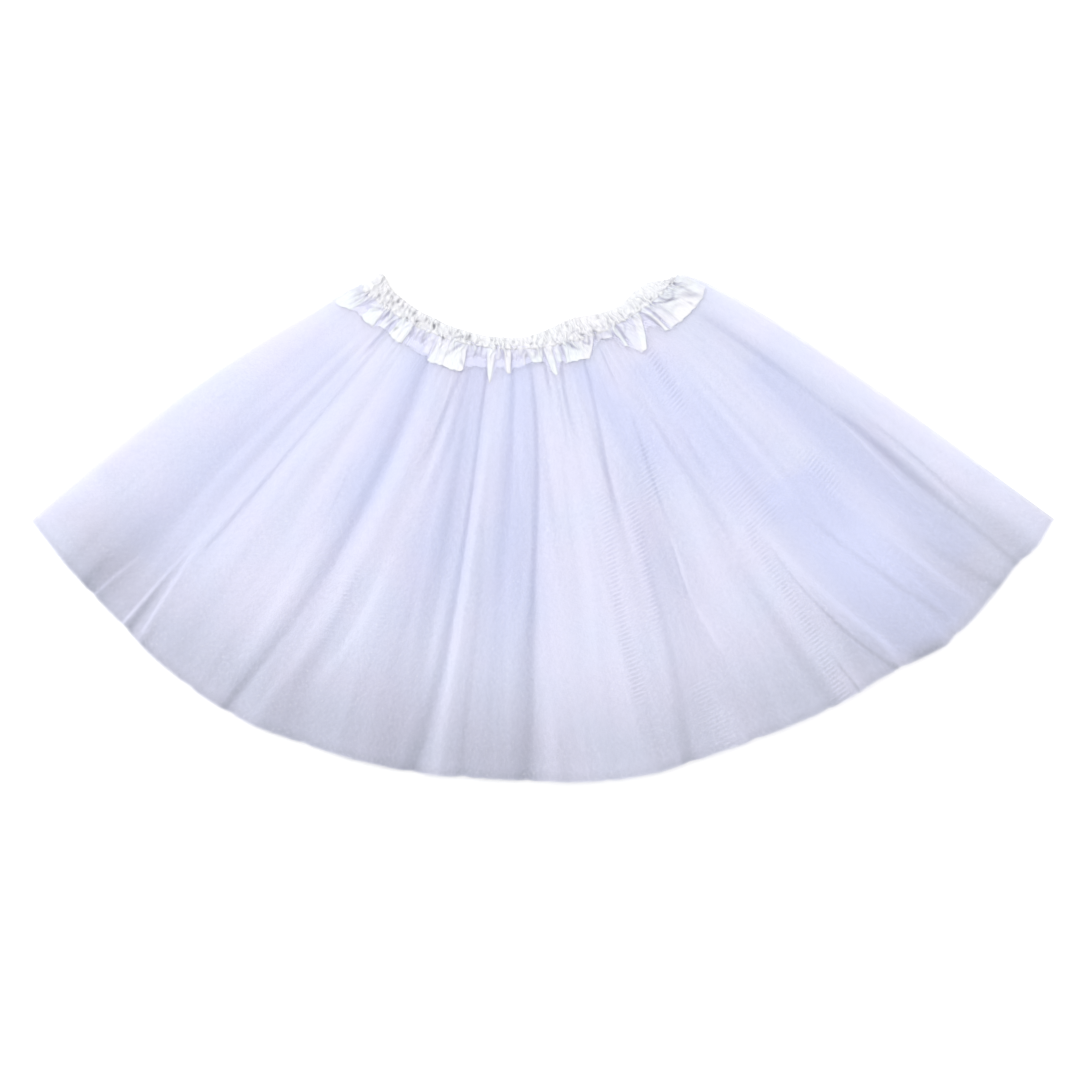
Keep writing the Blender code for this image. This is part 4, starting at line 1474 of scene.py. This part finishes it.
LOBES = listed(
    Lobe,
    # foot, tip, length, foot_half, tip_half, height, tone, crisp
    (0.012, 0.010, 20.0, 0.022, 0.020, 0.9, 0.12, 0.0),
    (0.077, 0.080, 15.4, 0.016, 0.022, 1.1, 0.06, 0.0),
    (0.122, 0.118, 12.0, 0.012, 0.009, 0.7, 0.26, 0.0),
    (0.165, 0.166, 14.2, 0.022, 0.021, 1.5, 0.00, 1.0),
    (0.228, 0.228, 6.0, 0.005, 0.003, 0.5, 0.25, 0.0),
    (0.249, 0.252, 13.0, 0.006, 0.008, 0.5, 0.42, 0.0),
    (0.282, 0.284, 17.6, 0.020, 0.021, 1.1, 0.14, -1.0),
    (0.325, 0.328, 18.4, 0.025, 0.027, 1.6, 0.00, 1.0),
    (0.372, 0.370, 4.0, 0.007, 0.004, 0.5, 0.30, 0.0),
    (0.416, 0.421, 23.0, 0.0135, 0.003, 1.3, 0.06, -1.0),
    (0.438, 0.436, 7.0, 0.008, 0.004, 0.4, 0.40, 0.0),
    (0.461, 0.465, 15.5, 0.0105, 0.006, 1.4, 0.00, 1.0),
    (0.504, 0.507, 12.0, 0.005, 0.003, 0.4, 0.35, 0.0),
    (0.540, 0.539, 8.8, 0.022, 0.014, 1.2, 0.03, 0.0),
    (0.571, 0.580, 19.0, 0.0125, 0.006, 1.5, 0.04, -1.0),
    (0.598, 0.596, 10.4, 0.008, 0.007, 0.8, 0.16, 0.0),
    (0.661, 0.642, 13.0, 0.048, 0.030, 1.5, 0.05, 1.0),
    (0.733, 0.736, 5.2, 0.020, 0.016, 0.9, 0.22, 0.0),
    (0.7665, 0.767, 15.2, 0.0075, 0.005, 1.2, 0.12, 0.0),
    (0.800, 0.787, 21.0, 0.022, 0.009, 0.9, 0.46, 0.0),
    (0.840, 0.794, 22.8, 0.012, 0.008, 1.6, 0.00, 1.0),
    (0.864, 0.868, 20.0, 0.006, 0.006, 1.2, 0.04, 0.0),
    (0.893, 0.890, 19.6, 0.014, 0.013, 1.0, 0.22, 0.0),
    (0.932, 0.928, 20.4, 0.026, 0.028, 1.5, 0.00, 0.0),
    (0.979, 0.977, 19.4, 0.026, 0.024, 0.9, 0.05, 0.0),
)

# The satin's main creases, which dent it and carry painted shade, and painted light along its sharpest ridges.
SATIN_CREASES = listed(
    Crease,
    (((0.003, -9.0), (0.003, -3.0), (0.006, 4.0)), 1.1, 0.40),
    (((0.016, -13.0), (0.018, -5.0), (0.021, 2.0)), 1.0, 0.46),
    (((0.030, -13.0), (0.033, -6.0), (0.038, 2.0)), 0.6, 0.34),
    (((0.043, -5.0), (0.0495, 0.0), (0.054, 5.0)), 0.9, 0.66),
    (((0.0595, -6.0), (0.073, -3.5), (0.089, -3.0)), 0.8, 0.50),
    (((0.108, 0.5), (0.105, -4.5), (0.101, -11.5)), 1.0, 0.62),
    (((0.084, -14.6), (0.094, -15.0), (0.104, -13.6)), 0.7, 0.36),
    (((0.120, -1.0), (0.123, -4.0), (0.121, -8.0)), 0.7, 0.30),
    (((0.130, -5.0), (0.134, -9.0), (0.136, -13.0)), 1.1, 0.52),
    (((0.186, 1.0), (0.1905, -5.5), (0.187, -12.5)), 1.0, 0.70),
    (((0.190, -13.0), (0.214, -14.0), (0.236, -15.0)), 0.9, 0.70),
    (((0.222, -1.5), (0.226, -5.0), (0.231, -9.0)), 1.3, 0.62),
    (((0.264, -15.0), (0.266, -9.0), (0.264, -3.0)), 0.6, 0.40),
    (((0.284, 6.0), (0.291, 4.4), (0.2985, 3.0)), 0.8, 0.50),
    (((0.305, 1.0), (0.319, 3.2), (0.333, 5.0)), 1.1, 0.60),
    (((0.340, -1.2), (0.323, -4.0), (0.302, -10.5)), 1.0, 0.62),
    (((0.356, 1.6), (0.371, -0.6), (0.389, -0.8)), 1.0, 0.70),
    (((0.389, 2.0), (0.390, -1.0), (0.389, -6.0)), 0.8, 0.60),
    (((0.352, -1.5), (0.351, -5.0), (0.3535, -8.5)), 0.9, 0.60),
    (((0.3415, -10.0), (0.346, -12.6), (0.354, -14.6)), 0.9, 0.52),
    (((0.4045, -3.0), (0.406, -10.0), (0.413, -17.0)), 0.6, 0.34),
    (((0.449, -1.0), (0.4505, -4.5), (0.449, -8.0)), 1.0, 0.40),
    (((0.4725, -2.0), (0.4735, -8.0), (0.471, -14.0)), 0.7, 0.40),
    (((0.470, 2.6), (0.474, 1.2), (0.480, 0.2)), 0.7, 0.45),
    (((0.5375, -1.2), (0.538, -3.2), (0.538, -5.2)), 1.4, 0.38),
    (((0.561, 2.0), (0.5585, -2.0), (0.5605, -9.0)), 0.9, 0.42),
    (((0.610, 1.0), (0.6105, -3.5), (0.612, -8.0)), 1.1, 0.62),
    (((0.630, 2.7), (0.634, -2.0), (0.652, -5.8)), 0.9, 0.74),
    (((0.668, 4.8), (0.677, 2.4), (0.691, 0.4)), 0.9, 0.90),
    (((0.661, 3.2), (0.666, -0.4), (0.657, -2.5)), 0.6, 0.60),
    (((0.717, 4.8), (0.711, -1.0), (0.697, -6.5)), 1.1, 0.62),
    (((0.697, -6.5), (0.686, -10.0), (0.674, -13.4)), 1.1, 0.46),
    (((0.7265, -1.6), (0.7245, -3.0), (0.722, -4.4)), 0.6, 0.36),
    (((0.742, 6.0), (0.742, 3.0), (0.745, 0.0)), 0.7, 0.36),
    (((0.757, 5.0), (0.764, 1.5), (0.763, -1.5)), 0.8, 0.50),
    (((0.750, -3.8), (0.757, -7.4), (0.7595, -14.0)), 1.0, 0.56),
    (((0.7765, 1.5), (0.7755, -6.0), (0.7735, -15.0)), 1.0, 0.74),
    (((0.846, -6.0), (0.833, -12.0), (0.806, -21.0)), 0.8, 0.42),
    (((0.8285, 0.5), (0.829, -1.2), (0.831, -3.0)), 0.9, 0.46),
    (((0.852, -0.5), (0.862, -9.0), (0.858, -17.8)), 1.1, 0.74),
    (((0.874, 0.0), (0.878, -8.0), (0.872, -20.0)), 0.9, 0.74),
    (((0.866, -1.0), (0.8695, -9.0), (0.866, -18.0)), 0.7, -0.40),
    (((0.858, -13.0), (0.8585, -15.0), (0.858, -17.0)), 2.0, 0.34),
    (((0.896, -2.0), (0.903, -8.0), (0.902, -16.0)), 2.0, 0.24),
    (((0.905, 5.0), (0.908, 2.0), (0.905, -1.0)), 0.6, 0.25),
    (((0.900, -1.0), (0.935, -6.4), (0.962, -3.0)), 0.9, 0.70),
    (((0.935, 3.4), (0.960, 0.6), (0.988, 2.4)), 0.8, 0.56),
    (((0.955, 8.4), (0.978, 4.6), (0.996, -6.0)), 0.9, 0.36),
    (((0.905, -13.0), (0.930, -11.0), (0.944, -15.0)), 1.4, 0.22),
    (((0.668, -2.0), (0.684, -4.6), (0.690, -1.0)), 0.8, 0.62),
    (((0.640, 4.0), (0.655, 6.8), (0.672, 6.2)), 0.7, 0.44),
    (((0.700, 4.4), (0.708, 1.2), (0.722, 1.6)), 0.7, 0.50),
    (((0.590, 6.0), (0.598, 2.6), (0.606, 5.6)), 0.7, 0.36),
    (((0.770, 9.0), (0.776, 5.0), (0.771, 2.0)), 0.6, 0.34),
    (((0.800, 7.0), (0.806, 4.0), (0.803, 1.0)), 0.7, 0.40),
    (((0.838, 9.0), (0.846, 5.0), (0.842, 2.0)), 0.7, 0.36),
    (((0.875, 10.0), (0.880, 6.0), (0.874, 3.0)), 0.7, 0.34),
    (((0.928, 2.1), (0.9305, -4.8), (0.9534, -9.0)), 1.0, 0.74),
    (((0.9635, -7.9), (0.975, -13.0), (0.990, -18.6)), 2.0, 0.50),
    (((0.955, -14.8), (0.956, -16.4), (0.956, -18.0)), 0.8, 0.40),
    (((0.990, 2.6), (0.985, -5.0), (0.983, -14.0)), 1.1, 0.44),
)


@dataclass(frozen=True)
class Dimple:
    """A place where the stitching pulls the satin in.

    Attributes:
        middle: Its share along the seam.
        above: How far above the seam it is, in millimetres; below it, in the frill, if negative.
        half: Half its width, in millimetres.
        dark: How dark the painted shadow in it is, up to 1, which also sets how far it dents the satin.
    """

    middle: float
    above: float
    half: float
    dark: float
    drawn: ClassVar[float] = 1.5

    def depth(self, share: Array, along: Array) -> Array:
        """A bell curve about its middle, drawn out along the gathers.

        Args:
            share: Columns by their share along the seam.
            along: Metres above the seam, rows by columns.

        Returns:
            How dark its painted shadow is at each row and column, which also sets how far it dents.
        """
        off = np.hypot((share - self.middle) * FAN.width(0.0), (along - self.above * MM) / self.drawn)
        return self.dark * bell(off, self.half * MM)


DIMPLES = listed(
    Dimple,
    (0.024, 13.0, 1.3, 0.34), (0.066, 10.5, 1.2, 0.45), (0.085, 9.0, 1.2, 0.55), (0.086, 4.5, 0.9, 0.40),
    (0.098, 5.5, 1.1, 0.50), (0.108, 9.3, 1.2, 0.70), (0.127, 7.5, 1.1, 0.48), (0.1435, -1.5, 1.2, 0.36),
    (0.150, -7.4, 1.4, 0.36), (0.155, 8.0, 1.0, 0.26), (0.160, 1.2, 1.2, 0.60), (0.171, 8.2, 1.1, 0.78),
    (0.188, 3.5, 1.0, 0.80), (0.197, 1.0, 1.0, 0.50), (0.211, 7.2, 1.3, 0.74), (0.239, 5.6, 1.2, 0.95),
    (0.2515, 8.1, 1.0, 0.62), (0.278, -1.4, 1.2, 0.80), (0.312, 7.8, 1.0, 0.56), (0.348, 5.4, 1.3, 0.95),
    (0.376, -6.8, 1.4, 0.46), (0.415, 6.5, 1.0, 0.26), (0.430, 0.7, 1.1, 0.68), (0.452, 6.3, 0.9, 0.36),
    (0.479, 5.5, 0.9, 0.36), (0.487, 0.0, 0.9, 0.30), (0.5115, -4.3, 1.2, 0.48), (0.533, 7.8, 1.0, 0.50),
    (0.5595, -14.5, 1.6, 0.55), (0.567, 4.0, 1.1, 0.36), (0.5775, 10.0, 1.6, 0.30), (0.6155, 10.0, 1.2, 0.32),
    (0.6435, 12.0, 1.0, 0.45), (0.6815, 10.5, 1.0, 0.26), (0.7105, 7.0, 1.0, 0.32), (0.740, 10.8, 1.2, 0.38),
    (0.8285, -1.2, 1.0, 0.30), (0.855, 2.5, 1.0, 0.52), (0.9435, -3.4, 0.9, 0.36),
)


@dataclass(frozen=True)
class Ruched:
    """What the ruching does at each point: its ridges, fine wrinkles, pits and creases, rows by columns."""

    ridge: Array
    fine: Array
    pits: Array
    creased: Array
    pit_shadow: ClassVar[float] = 0.8
    crease_shadow: ClassVar[float] = 0.58

    def values(self, seen: Array, shade: Array) -> dict[str, Array]:
        """The numbers that the mesh carries: its painted shade, and the painted shadow in its pits and
        creases.

        Args:
            seen: How much of this shows, by column.
            shade: How far each point is from lit to shaded, before it is held from 0 to 1.

        Returns:
            The named numbers.
        """
        dark = np.clip(self.pit_shadow * self.pits + self.crease_shadow * self.creased, 0.0, 1.0)
        return {"shade": np.clip(seen * shade, 0.0, 1.0), "pit": seen * dark}


@dataclass(frozen=True)
class Ruching:
    """How the satin is gathered over the elastic, worked out the same for the casing and the frill.

    Places are a share along the seam and metres above it, so the gathers run on from one into the other.
    Drift, swell and stitch_waves are waves as for wobble, and sway, ripple and bends are as for slanting. A
    row of stitches just above the seam pits each valley there, with a dent and a painted shadow whose
    darkness is stitch_dark, swelling by stitch_swell.
    """

    gathers: float = 54.0
    gather_drift: tuple[Triple, ...] = ((6.0, 0.20, 0.0060), (15.0, 0.60, 0.0026), (29.0, 0.15, 0.0011))
    gather_swell: tuple[Triple, ...] = ((9.0, 0.3, 0.28), (23.0, 0.8, 0.24))
    gather_size: float = 0.76
    gather_sway: tuple[Triple, ...] = ((0.0050, 300.0, 70.0), (0.0024, 760.0, -150.0))
    gather_ripple: tuple[Triple, ...] = ((0.34, 900.0, 95.0),)
    tallest: float = 1.2
    wrinkles: float = 88.0
    wrinkle_drift: tuple[Triple, ...] = ((8.0, 0.5, 0.0050), (21.0, 0.1, 0.0022))
    wrinkle_bend: tuple[Triple, ...] = ((2.6, 700.0, 90.0),)
    crossing: Pair = (0.57, 1500.0)
    crossing_bend: tuple[Triple, ...] = ((2.0, 0.0, 55.0),)
    wrinkle_sizes: Pair = (0.3, 0.2)
    stitch_above: float = 0.0018
    stitch_half: float = 0.0010
    stitch_waves: tuple[Triple, ...] = ((5.8887, 0.0, 1.0), (20.6901, 0.15915, 0.7))
    stitch_dark: float = 0.26
    stitch_swell: tuple[Triple, ...] = ((11.0, 0.4, 0.26), (27.0, 0.9, 0.26))
    valley_power: int = 3

    def ridge(self, share: Array, along: Array) -> Array:
        """The gathers, from 0 in the valleys to 1: a sine, uneven in width and height, that sways as it runs.

        Args:
            share: Columns by their share along the seam.
            along: Metres above the seam, rows by columns.

        Returns:
            The height at each row and column.
        """
        place = share + wobble(share, self.gather_drift) + slanting(share, along, self.gather_sway)
        size = self.gather_size + wobble(share, self.gather_swell)
        size = size + slanting(share, along, self.gather_ripple)
        return np.clip((0.5 + 0.5 * np.sin(TURN * self.gathers * place)) * size, 0.0, self.tallest)

    def wrinkle(self, share: Array, along: Array) -> Array:
        """Finer wrinkles between the gathers, from 0 to 1: two sines that cross each other at a slant.

        Args:
            share: Columns by their share along the seam.
            along: Metres above the seam, rows by columns.

        Returns:
            The height at each row and column.
        """
        turn = TURN * self.wrinkles * (share + wobble(share, self.wrinkle_drift))
        count, slant = self.crossing
        first = np.sin(turn + slanting(share, along, self.wrinkle_bend))
        second = np.sin(count * turn + slant * along + slanting(share, along, self.crossing_bend))
        return 0.5 + self.wrinkle_sizes[0] * first + self.wrinkle_sizes[1] * second

    def pits(self, share: Array, along: Array, ridge: Array) -> Array:
        """How deep in a dimple each point is: one in each valley along the stitches, and the listed ones.

        Args:
            share: Columns by their share along the seam.
            along: Metres above the seam, rows by columns.
            ridge: The gathers' height there.

        Returns:
            From 0 to 1 at each row and column.
        """
        line = self.stitch_above * (1.0 + wobble(share, self.stitch_waves))
        dark = np.clip(self.stitch_dark + wobble(share, self.stitch_swell), 0.0, 1.0)
        row = dark * np.clip(1.0 - ridge, 0.0, 1.0) ** self.valley_power
        row = row * bell(along - line, self.stitch_half)
        return np.clip(row + sum(dimple.depth(share, along) for dimple in DIMPLES), 0.0, 1.0)

    def at(self, share: Array, along: Array) -> Ruched:
        """Works out the ruching.

        Args:
            share: Columns by their share along the seam.
            along: Metres above the seam, rows by columns.

        Returns:
            What it does at each point.
        """
        ridge = self.ridge(share, along)
        creased = sum(crease.paint(share, along) for crease in SATIN_CREASES)
        return Ruched(ridge, self.wrinkle(share, along), self.pits(share, along, ridge), creased)


@dataclass(frozen=True)
class Frill:
    """The free frill below the stitching, which opens into lobes.

    Gather and wrinkle are how high those stand, and pinch and pit how deep its creases and dimples are. Tones
    are how dark the painted shade is in the valleys of its gathers, in its wrinkles and in its creases, and
    trough tones how dark the painted shade in its troughs is, at the stitching and further down.
    """

    skirt: TulleSkirt
    ruching: Ruching
    cut: Cut = Cut(near=0.72, far=0.72, deep=0.017)
    columns: Columns = Columns(front=1200, side=24, back=460)
    rows: int = 40
    edge_waves: tuple[Triple, ...] = ((41.0, 0.1, 0.0003), (67.0, 0.5, 0.0002))
    opened: float = 0.8
    gathered: float = 0.0070
    trough_tones: Pair = (0.20, 0.82)
    trough_reach: float = 0.008
    tuck: float = 0.0024
    step: float = 0.0014
    sink: float = 0.0005
    gather: float = 0.0011
    back_gather: float = 0.0004
    wrinkle: Pair = (0.0004, 0.0001)
    pinch: float = 0.0004
    pit: float = 0.0007
    tones: Triple = (0.34, 0.20, 0.75)
    behind: float = 0.8

    def surface(self) -> Surface:
        """Works it out: gathers at the stitching that open into lobes, with its troughs down on the tulle.

        Returns:
            The surface, ready to build.
        """
        share, rows = self.columns.shares(), np.linspace(0.0, 1.0, self.rows)[:, None]
        front, back = self.columns.on_front(), self.columns.on_back()
        places, reaches = np.array(FRILL_EDGE).T
        below = rows * (np.interp(share, places, reaches) * MM + wobble(share, self.edge_waves))
        # Painted shade deepens down each trough, and each lobe takes its own tone of painted shade.
        height, shade = 0.0 * below - self.sink, mix(*self.trough_tones, ease(below, 0.0, self.trough_reach))
        for lobe in LOBES:
            inside = lobe.inside(share, below)
            height = np.maximum(height, (lobe.rise() + self.sink) * inside - self.sink)
            shade = mix(shade, lobe.tone, inside)
        ruched = self.ruching.at(share, -below)
        opened, gathered = ease(rows, 0.0, self.opened), bell(below, self.gathered)
        lift = (height - self.step) * opened + self.gather * ruched.ridge * gathered
        lift = lift + mix(*self.wrinkle, opened) * ruched.fine
        lift = lift - self.pinch * ruched.creased - self.pit * ruched.pits
        lift = lift + self.skirt.lift(FRONT_FOLDS, share, below / FAN.length, 1.0, 1.0)
        lift = front * lift + back * self.back_gather * ruched.ridge
        half = STACK.tulle_half() + STACK.gap + STACK.wall / 2
        depth = (below - self.tuck * (1.0 - rows) ** 2) / FAN.length
        tube = FlatTube(FAN.tulle, self.columns, STACK.tulle_half())
        points = tube.points(depth, half, half + STACK.wall / 2, lift)
        # Painted shade in the valleys of the gathers, in the wrinkles and in the creases.
        valley, wrinkled, creased = self.tones
        shade = shade + valley * (1.0 - ruched.ridge) * gathered + wrinkled * (1.0 - ruched.fine)
        values = ruched.values(front + self.behind * back, shade + creased * ruched.creased)
        return Surface(points, self.cut.place(self.columns.across(), rows * self.cut.deep), values)


@dataclass(frozen=True)
class Casing:
    """The casing that holds the elastic: over its front, round its edge and down inside the closed waist.

    Rows and reaches are of those three parts. Heights and tones are as for the frill, base tone is painted
    shade all over, and waist tone how much of the valleys' painted shade is left at the waist. Its edge
    scallops by the gathers, by the wrinkles, and by an even amount.
    """

    ruching: Ruching
    cut: Cut = Cut(near=0.72, far=0.72, deep=0.023)
    columns: Columns = Columns(front=1200, side=24, back=460)
    rows: tuple[int, int, int] = (26, 10, 4)
    reaches: Triple = (0.010, 0.014, 0.023)
    under: float = 0.06
    roll: float = 0.09
    inside: float = 0.9
    walls: Pair = (0.0030, 0.0053)
    inset: float = 0.5
    gather: float = 0.0011
    back_gather: float = 0.0004
    low_edge: Pair = (0.4, 0.3)
    wrinkle: float = 0.0004
    pinch: float = 0.0006
    pit: float = 0.0008
    curl: float = 0.0009
    curl_span: Pair = (0.94, 1.06)
    scallop: Triple = (0.09, 0.05, -0.08)
    base_tone: float = 0.02
    tones: Triple = (0.34, 0.24, 0.80)
    waist_tone: float = 0.5
    behind: float = 0.8

    def along(self, *ends: float) -> Array:
        """Runs evenly from each of four values to the next, over the front, round the edge and inside.

        Args:
            *ends: The four values.

        Returns:
            One value for each row, as a column.
        """
        parts = [np.linspace(ends[0], ends[1], self.rows[0])]
        for count, near, far in zip(self.rows[1:], ends[1:], ends[2:], strict=False):
            parts.append(np.linspace(near, far, count + 1)[1:])
        return np.concatenate(parts)[:, None]

    def surface(self) -> Surface:
        """Works it out.

        The depth falls to the waist, rolls over its edge by a half sine, and comes back inside, while half
        the thickness shrinks by a half cosine from the wall's to the closed waist's.

        Returns:
            The surface, ready to build.
        """
        place, swing = self.columns.shares(), self.along(0.0, 0.0, 1.0, 1.0)
        front, back = self.columns.on_front(), self.columns.on_back()
        depth = self.along(1.0 + self.under, 0.0, 0.0, self.inside) - self.roll * np.sin(math.pi * swing)
        closed, wall = STACK.closed_waist / 2, mix(*self.walls, ease(depth))
        radius = closed + wall * (0.5 + 0.5 * np.cos(math.pi * swing))
        down, shown = np.clip(depth, 0.0, 1.0), 1.0 - swing
        ruched = self.ruching.at(FAN.seam_share(place), FAN.above(place, depth) * shown)
        low, grown = self.low_edge
        rise = self.gather * ruched.ridge * mix(low, 1.0, ease(down, 0.0, grown)) + self.wrinkle * ruched.fine
        rise = rise - self.curl * ease(depth, *self.curl_span) - self.pit * ruched.pits
        rise = rise - self.pinch * ruched.creased
        lift = shown * (front * rise + back * self.back_gather * (1.0 - ruched.ridge))
        by_ridge, by_fine, least = self.scallop
        bulge = (by_ridge * ruched.ridge + by_fine * ruched.fine + least) * (1.0 - down) * shown
        tube = FlatTube(FAN.casing, self.columns, self.inset * self.walls[1])
        points = tube.points(depth - bulge, radius, closed + wall, lift)
        valley, wrinkled, creased = self.tones
        # Painted shade in the gathers' valleys, less near the waist, in the wrinkles and in the creases.
        shade = valley * (1.0 - ruched.ridge) * mix(self.waist_tone, 1.0, down)
        shade = shade + wrinkled * (1.0 - ruched.fine) ** 2 + creased * ruched.creased
        seen = front + self.behind * back
        values = ruched.values(seen, self.base_tone + shown * shade)
        values["pit"] = values["pit"] * shown
        return Surface(points, self.cut.place(self.columns.across(), self.along(0.0, *self.reaches)), values)


@dataclass(frozen=True)
class Waistband:
    """The satin: ruched over the elastic above the stitching, and a free frill below it."""

    skirt: TulleSkirt
    ruching: Ruching = Ruching()
    frill_finish: Satin = Satin(name="frill_satin")
    # The casing's satin is the frill's with a lighter face, which is painted light, and a greyer colour for
    # its painted shade.
    casing_finish: Satin = Satin(
        name="casing_satin", face=(0.705, 0.70, 0.715), mint=(0.69, 0.70, 0.71), shadow=(0.50, 0.50, 0.57)
    )

    def build(self, effects: Effects) -> None:
        """Builds the frill and the casing, hangs both from the root and hides the solids they stand for.

        Args:
            effects: The shared shader groups.
        """
        for part, finish, node, slot in (
            (Frill(self.skirt, self.ruching), self.frill_finish, "waistband_frill", "satin_frill"),
            (Casing(self.ruching), self.casing_finish, "waistband_casing", "satin_casing"),
        ):
            piece = part.surface().build(f"{node}_satin", finish.material(effects))
            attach(piece, "root")
            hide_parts(node)
            LOG.info("%s: %d faces", piece.name, len(piece.data.polygons))


@dataclass(frozen=True)
class Panel:
    """A square soft light, in metres and watts, which faces the middle of the tutu."""

    name: str
    place: Triple
    size: float
    power: float

    def build(self) -> None:
        """Adds the light, turned from straight down by the angles to the middle."""
        data = bpy.data.lights.new(self.name, "AREA")
        data.shape, data.size, data.energy = "SQUARE", self.size, self.power
        lamp = bpy.data.objects.new(self.name, data)
        lamp.location = self.place
        x, y, z = self.place
        lamp.rotation_euler = (math.acos(z / math.hypot(x, y, z)), 0.0, math.atan2(-y, -x) - TURN / 4)
        bpy.context.scene.collection.objects.link(lamp)


@dataclass(frozen=True)
class Studio:
    """A plain pale floor, soft light from above, and a camera straight over the tutu.

    Lens is the focal length and the sensor's width, in millimetres. Bounces are how often light may bounce:
    in all, off matt cloth, off gloss, and through the net.
    """

    floor_half: float = 4.0
    floor_drop: float = 0.0002
    floor_tone: float = 0.97
    floor_rough: float = 0.9
    surround: float = 0.88
    panels: tuple[Panel, ...] = (
        Panel("overhead", (0.0, 0.3, 2.6), 2.4, 34.0), Panel("side", (-1.6, 1.2, 1.5), 0.9, 16.0),
    )
    view_centre: Pair = (-0.0017, -0.0067)
    view_width: float = 0.728
    view_height: float = 0.006
    lens: Pair = (85.0, 36.0)
    bounces: tuple[int, int, int, int] = (4, 3, 2, 32)

    def floor(self) -> None:
        """Lays a pale sheet under everything."""
        h, z = self.floor_half, -self.floor_drop
        mesh = bpy.data.meshes.new("floor")
        mesh.from_pydata([(-h, -h, z), (h, -h, z), (h, h, z), (-h, h, z)], [], [(0, 1, 2, 3)])
        made, _, shader = new_finish("pale_floor")
        shader["Base Color"].default_value = (self.floor_tone,) * 3 + (1.0,)
        shader["Roughness"].default_value = self.floor_rough
        shader["Specular IOR Level"].default_value = 0.0
        mesh.materials.append(made)
        piece = bpy.data.objects.new("floor", mesh)
        bpy.context.scene.collection.objects.link(piece)

    def light(self) -> None:
        """Adds the panels and an even white surround."""
        world = bpy.data.worlds.new("surround")
        world.use_nodes = True
        background = world.node_tree.nodes["Background"].inputs
        background["Color"].default_value = (1.0, 1.0, 1.0, 1.0)
        background["Strength"].default_value = self.surround
        bpy.context.scene.world = world
        for panel in self.panels:
            panel.build()

    def camera(self) -> None:
        """Looks straight down, from where the view is as wide as it should be at the cloth."""
        data = bpy.data.cameras.new("camera")
        data.lens, data.sensor_width = self.lens
        camera = bpy.data.objects.new("camera", data)
        above = self.view_width * data.lens / data.sensor_width
        camera.location = (*self.view_centre, self.view_height + above)
        bpy.context.scene.collection.objects.link(camera)
        bpy.context.scene.camera = camera

    def build(self) -> None:
        """Sets up the whole studio."""
        self.floor()
        self.light()
        self.camera()
        scene = bpy.context.scene
        scene.view_settings.view_transform = "Standard"
        cycles = scene.cycles
        cycles.max_bounces, cycles.diffuse_bounces, *others = self.bounces
        cycles.glossy_bounces, cycles.transparent_max_bounces = others


def main() -> None:
    """Builds every piece around the frame."""
    logging.basicConfig(level=logging.INFO, format="%(name)s: %(message)s")
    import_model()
    effects, skirt = Effects.build(), TulleSkirt()
    skirt.build(effects)
    Waistband(skirt).build(effects)
    Studio().build()


if __name__ == "__main__":
    main()
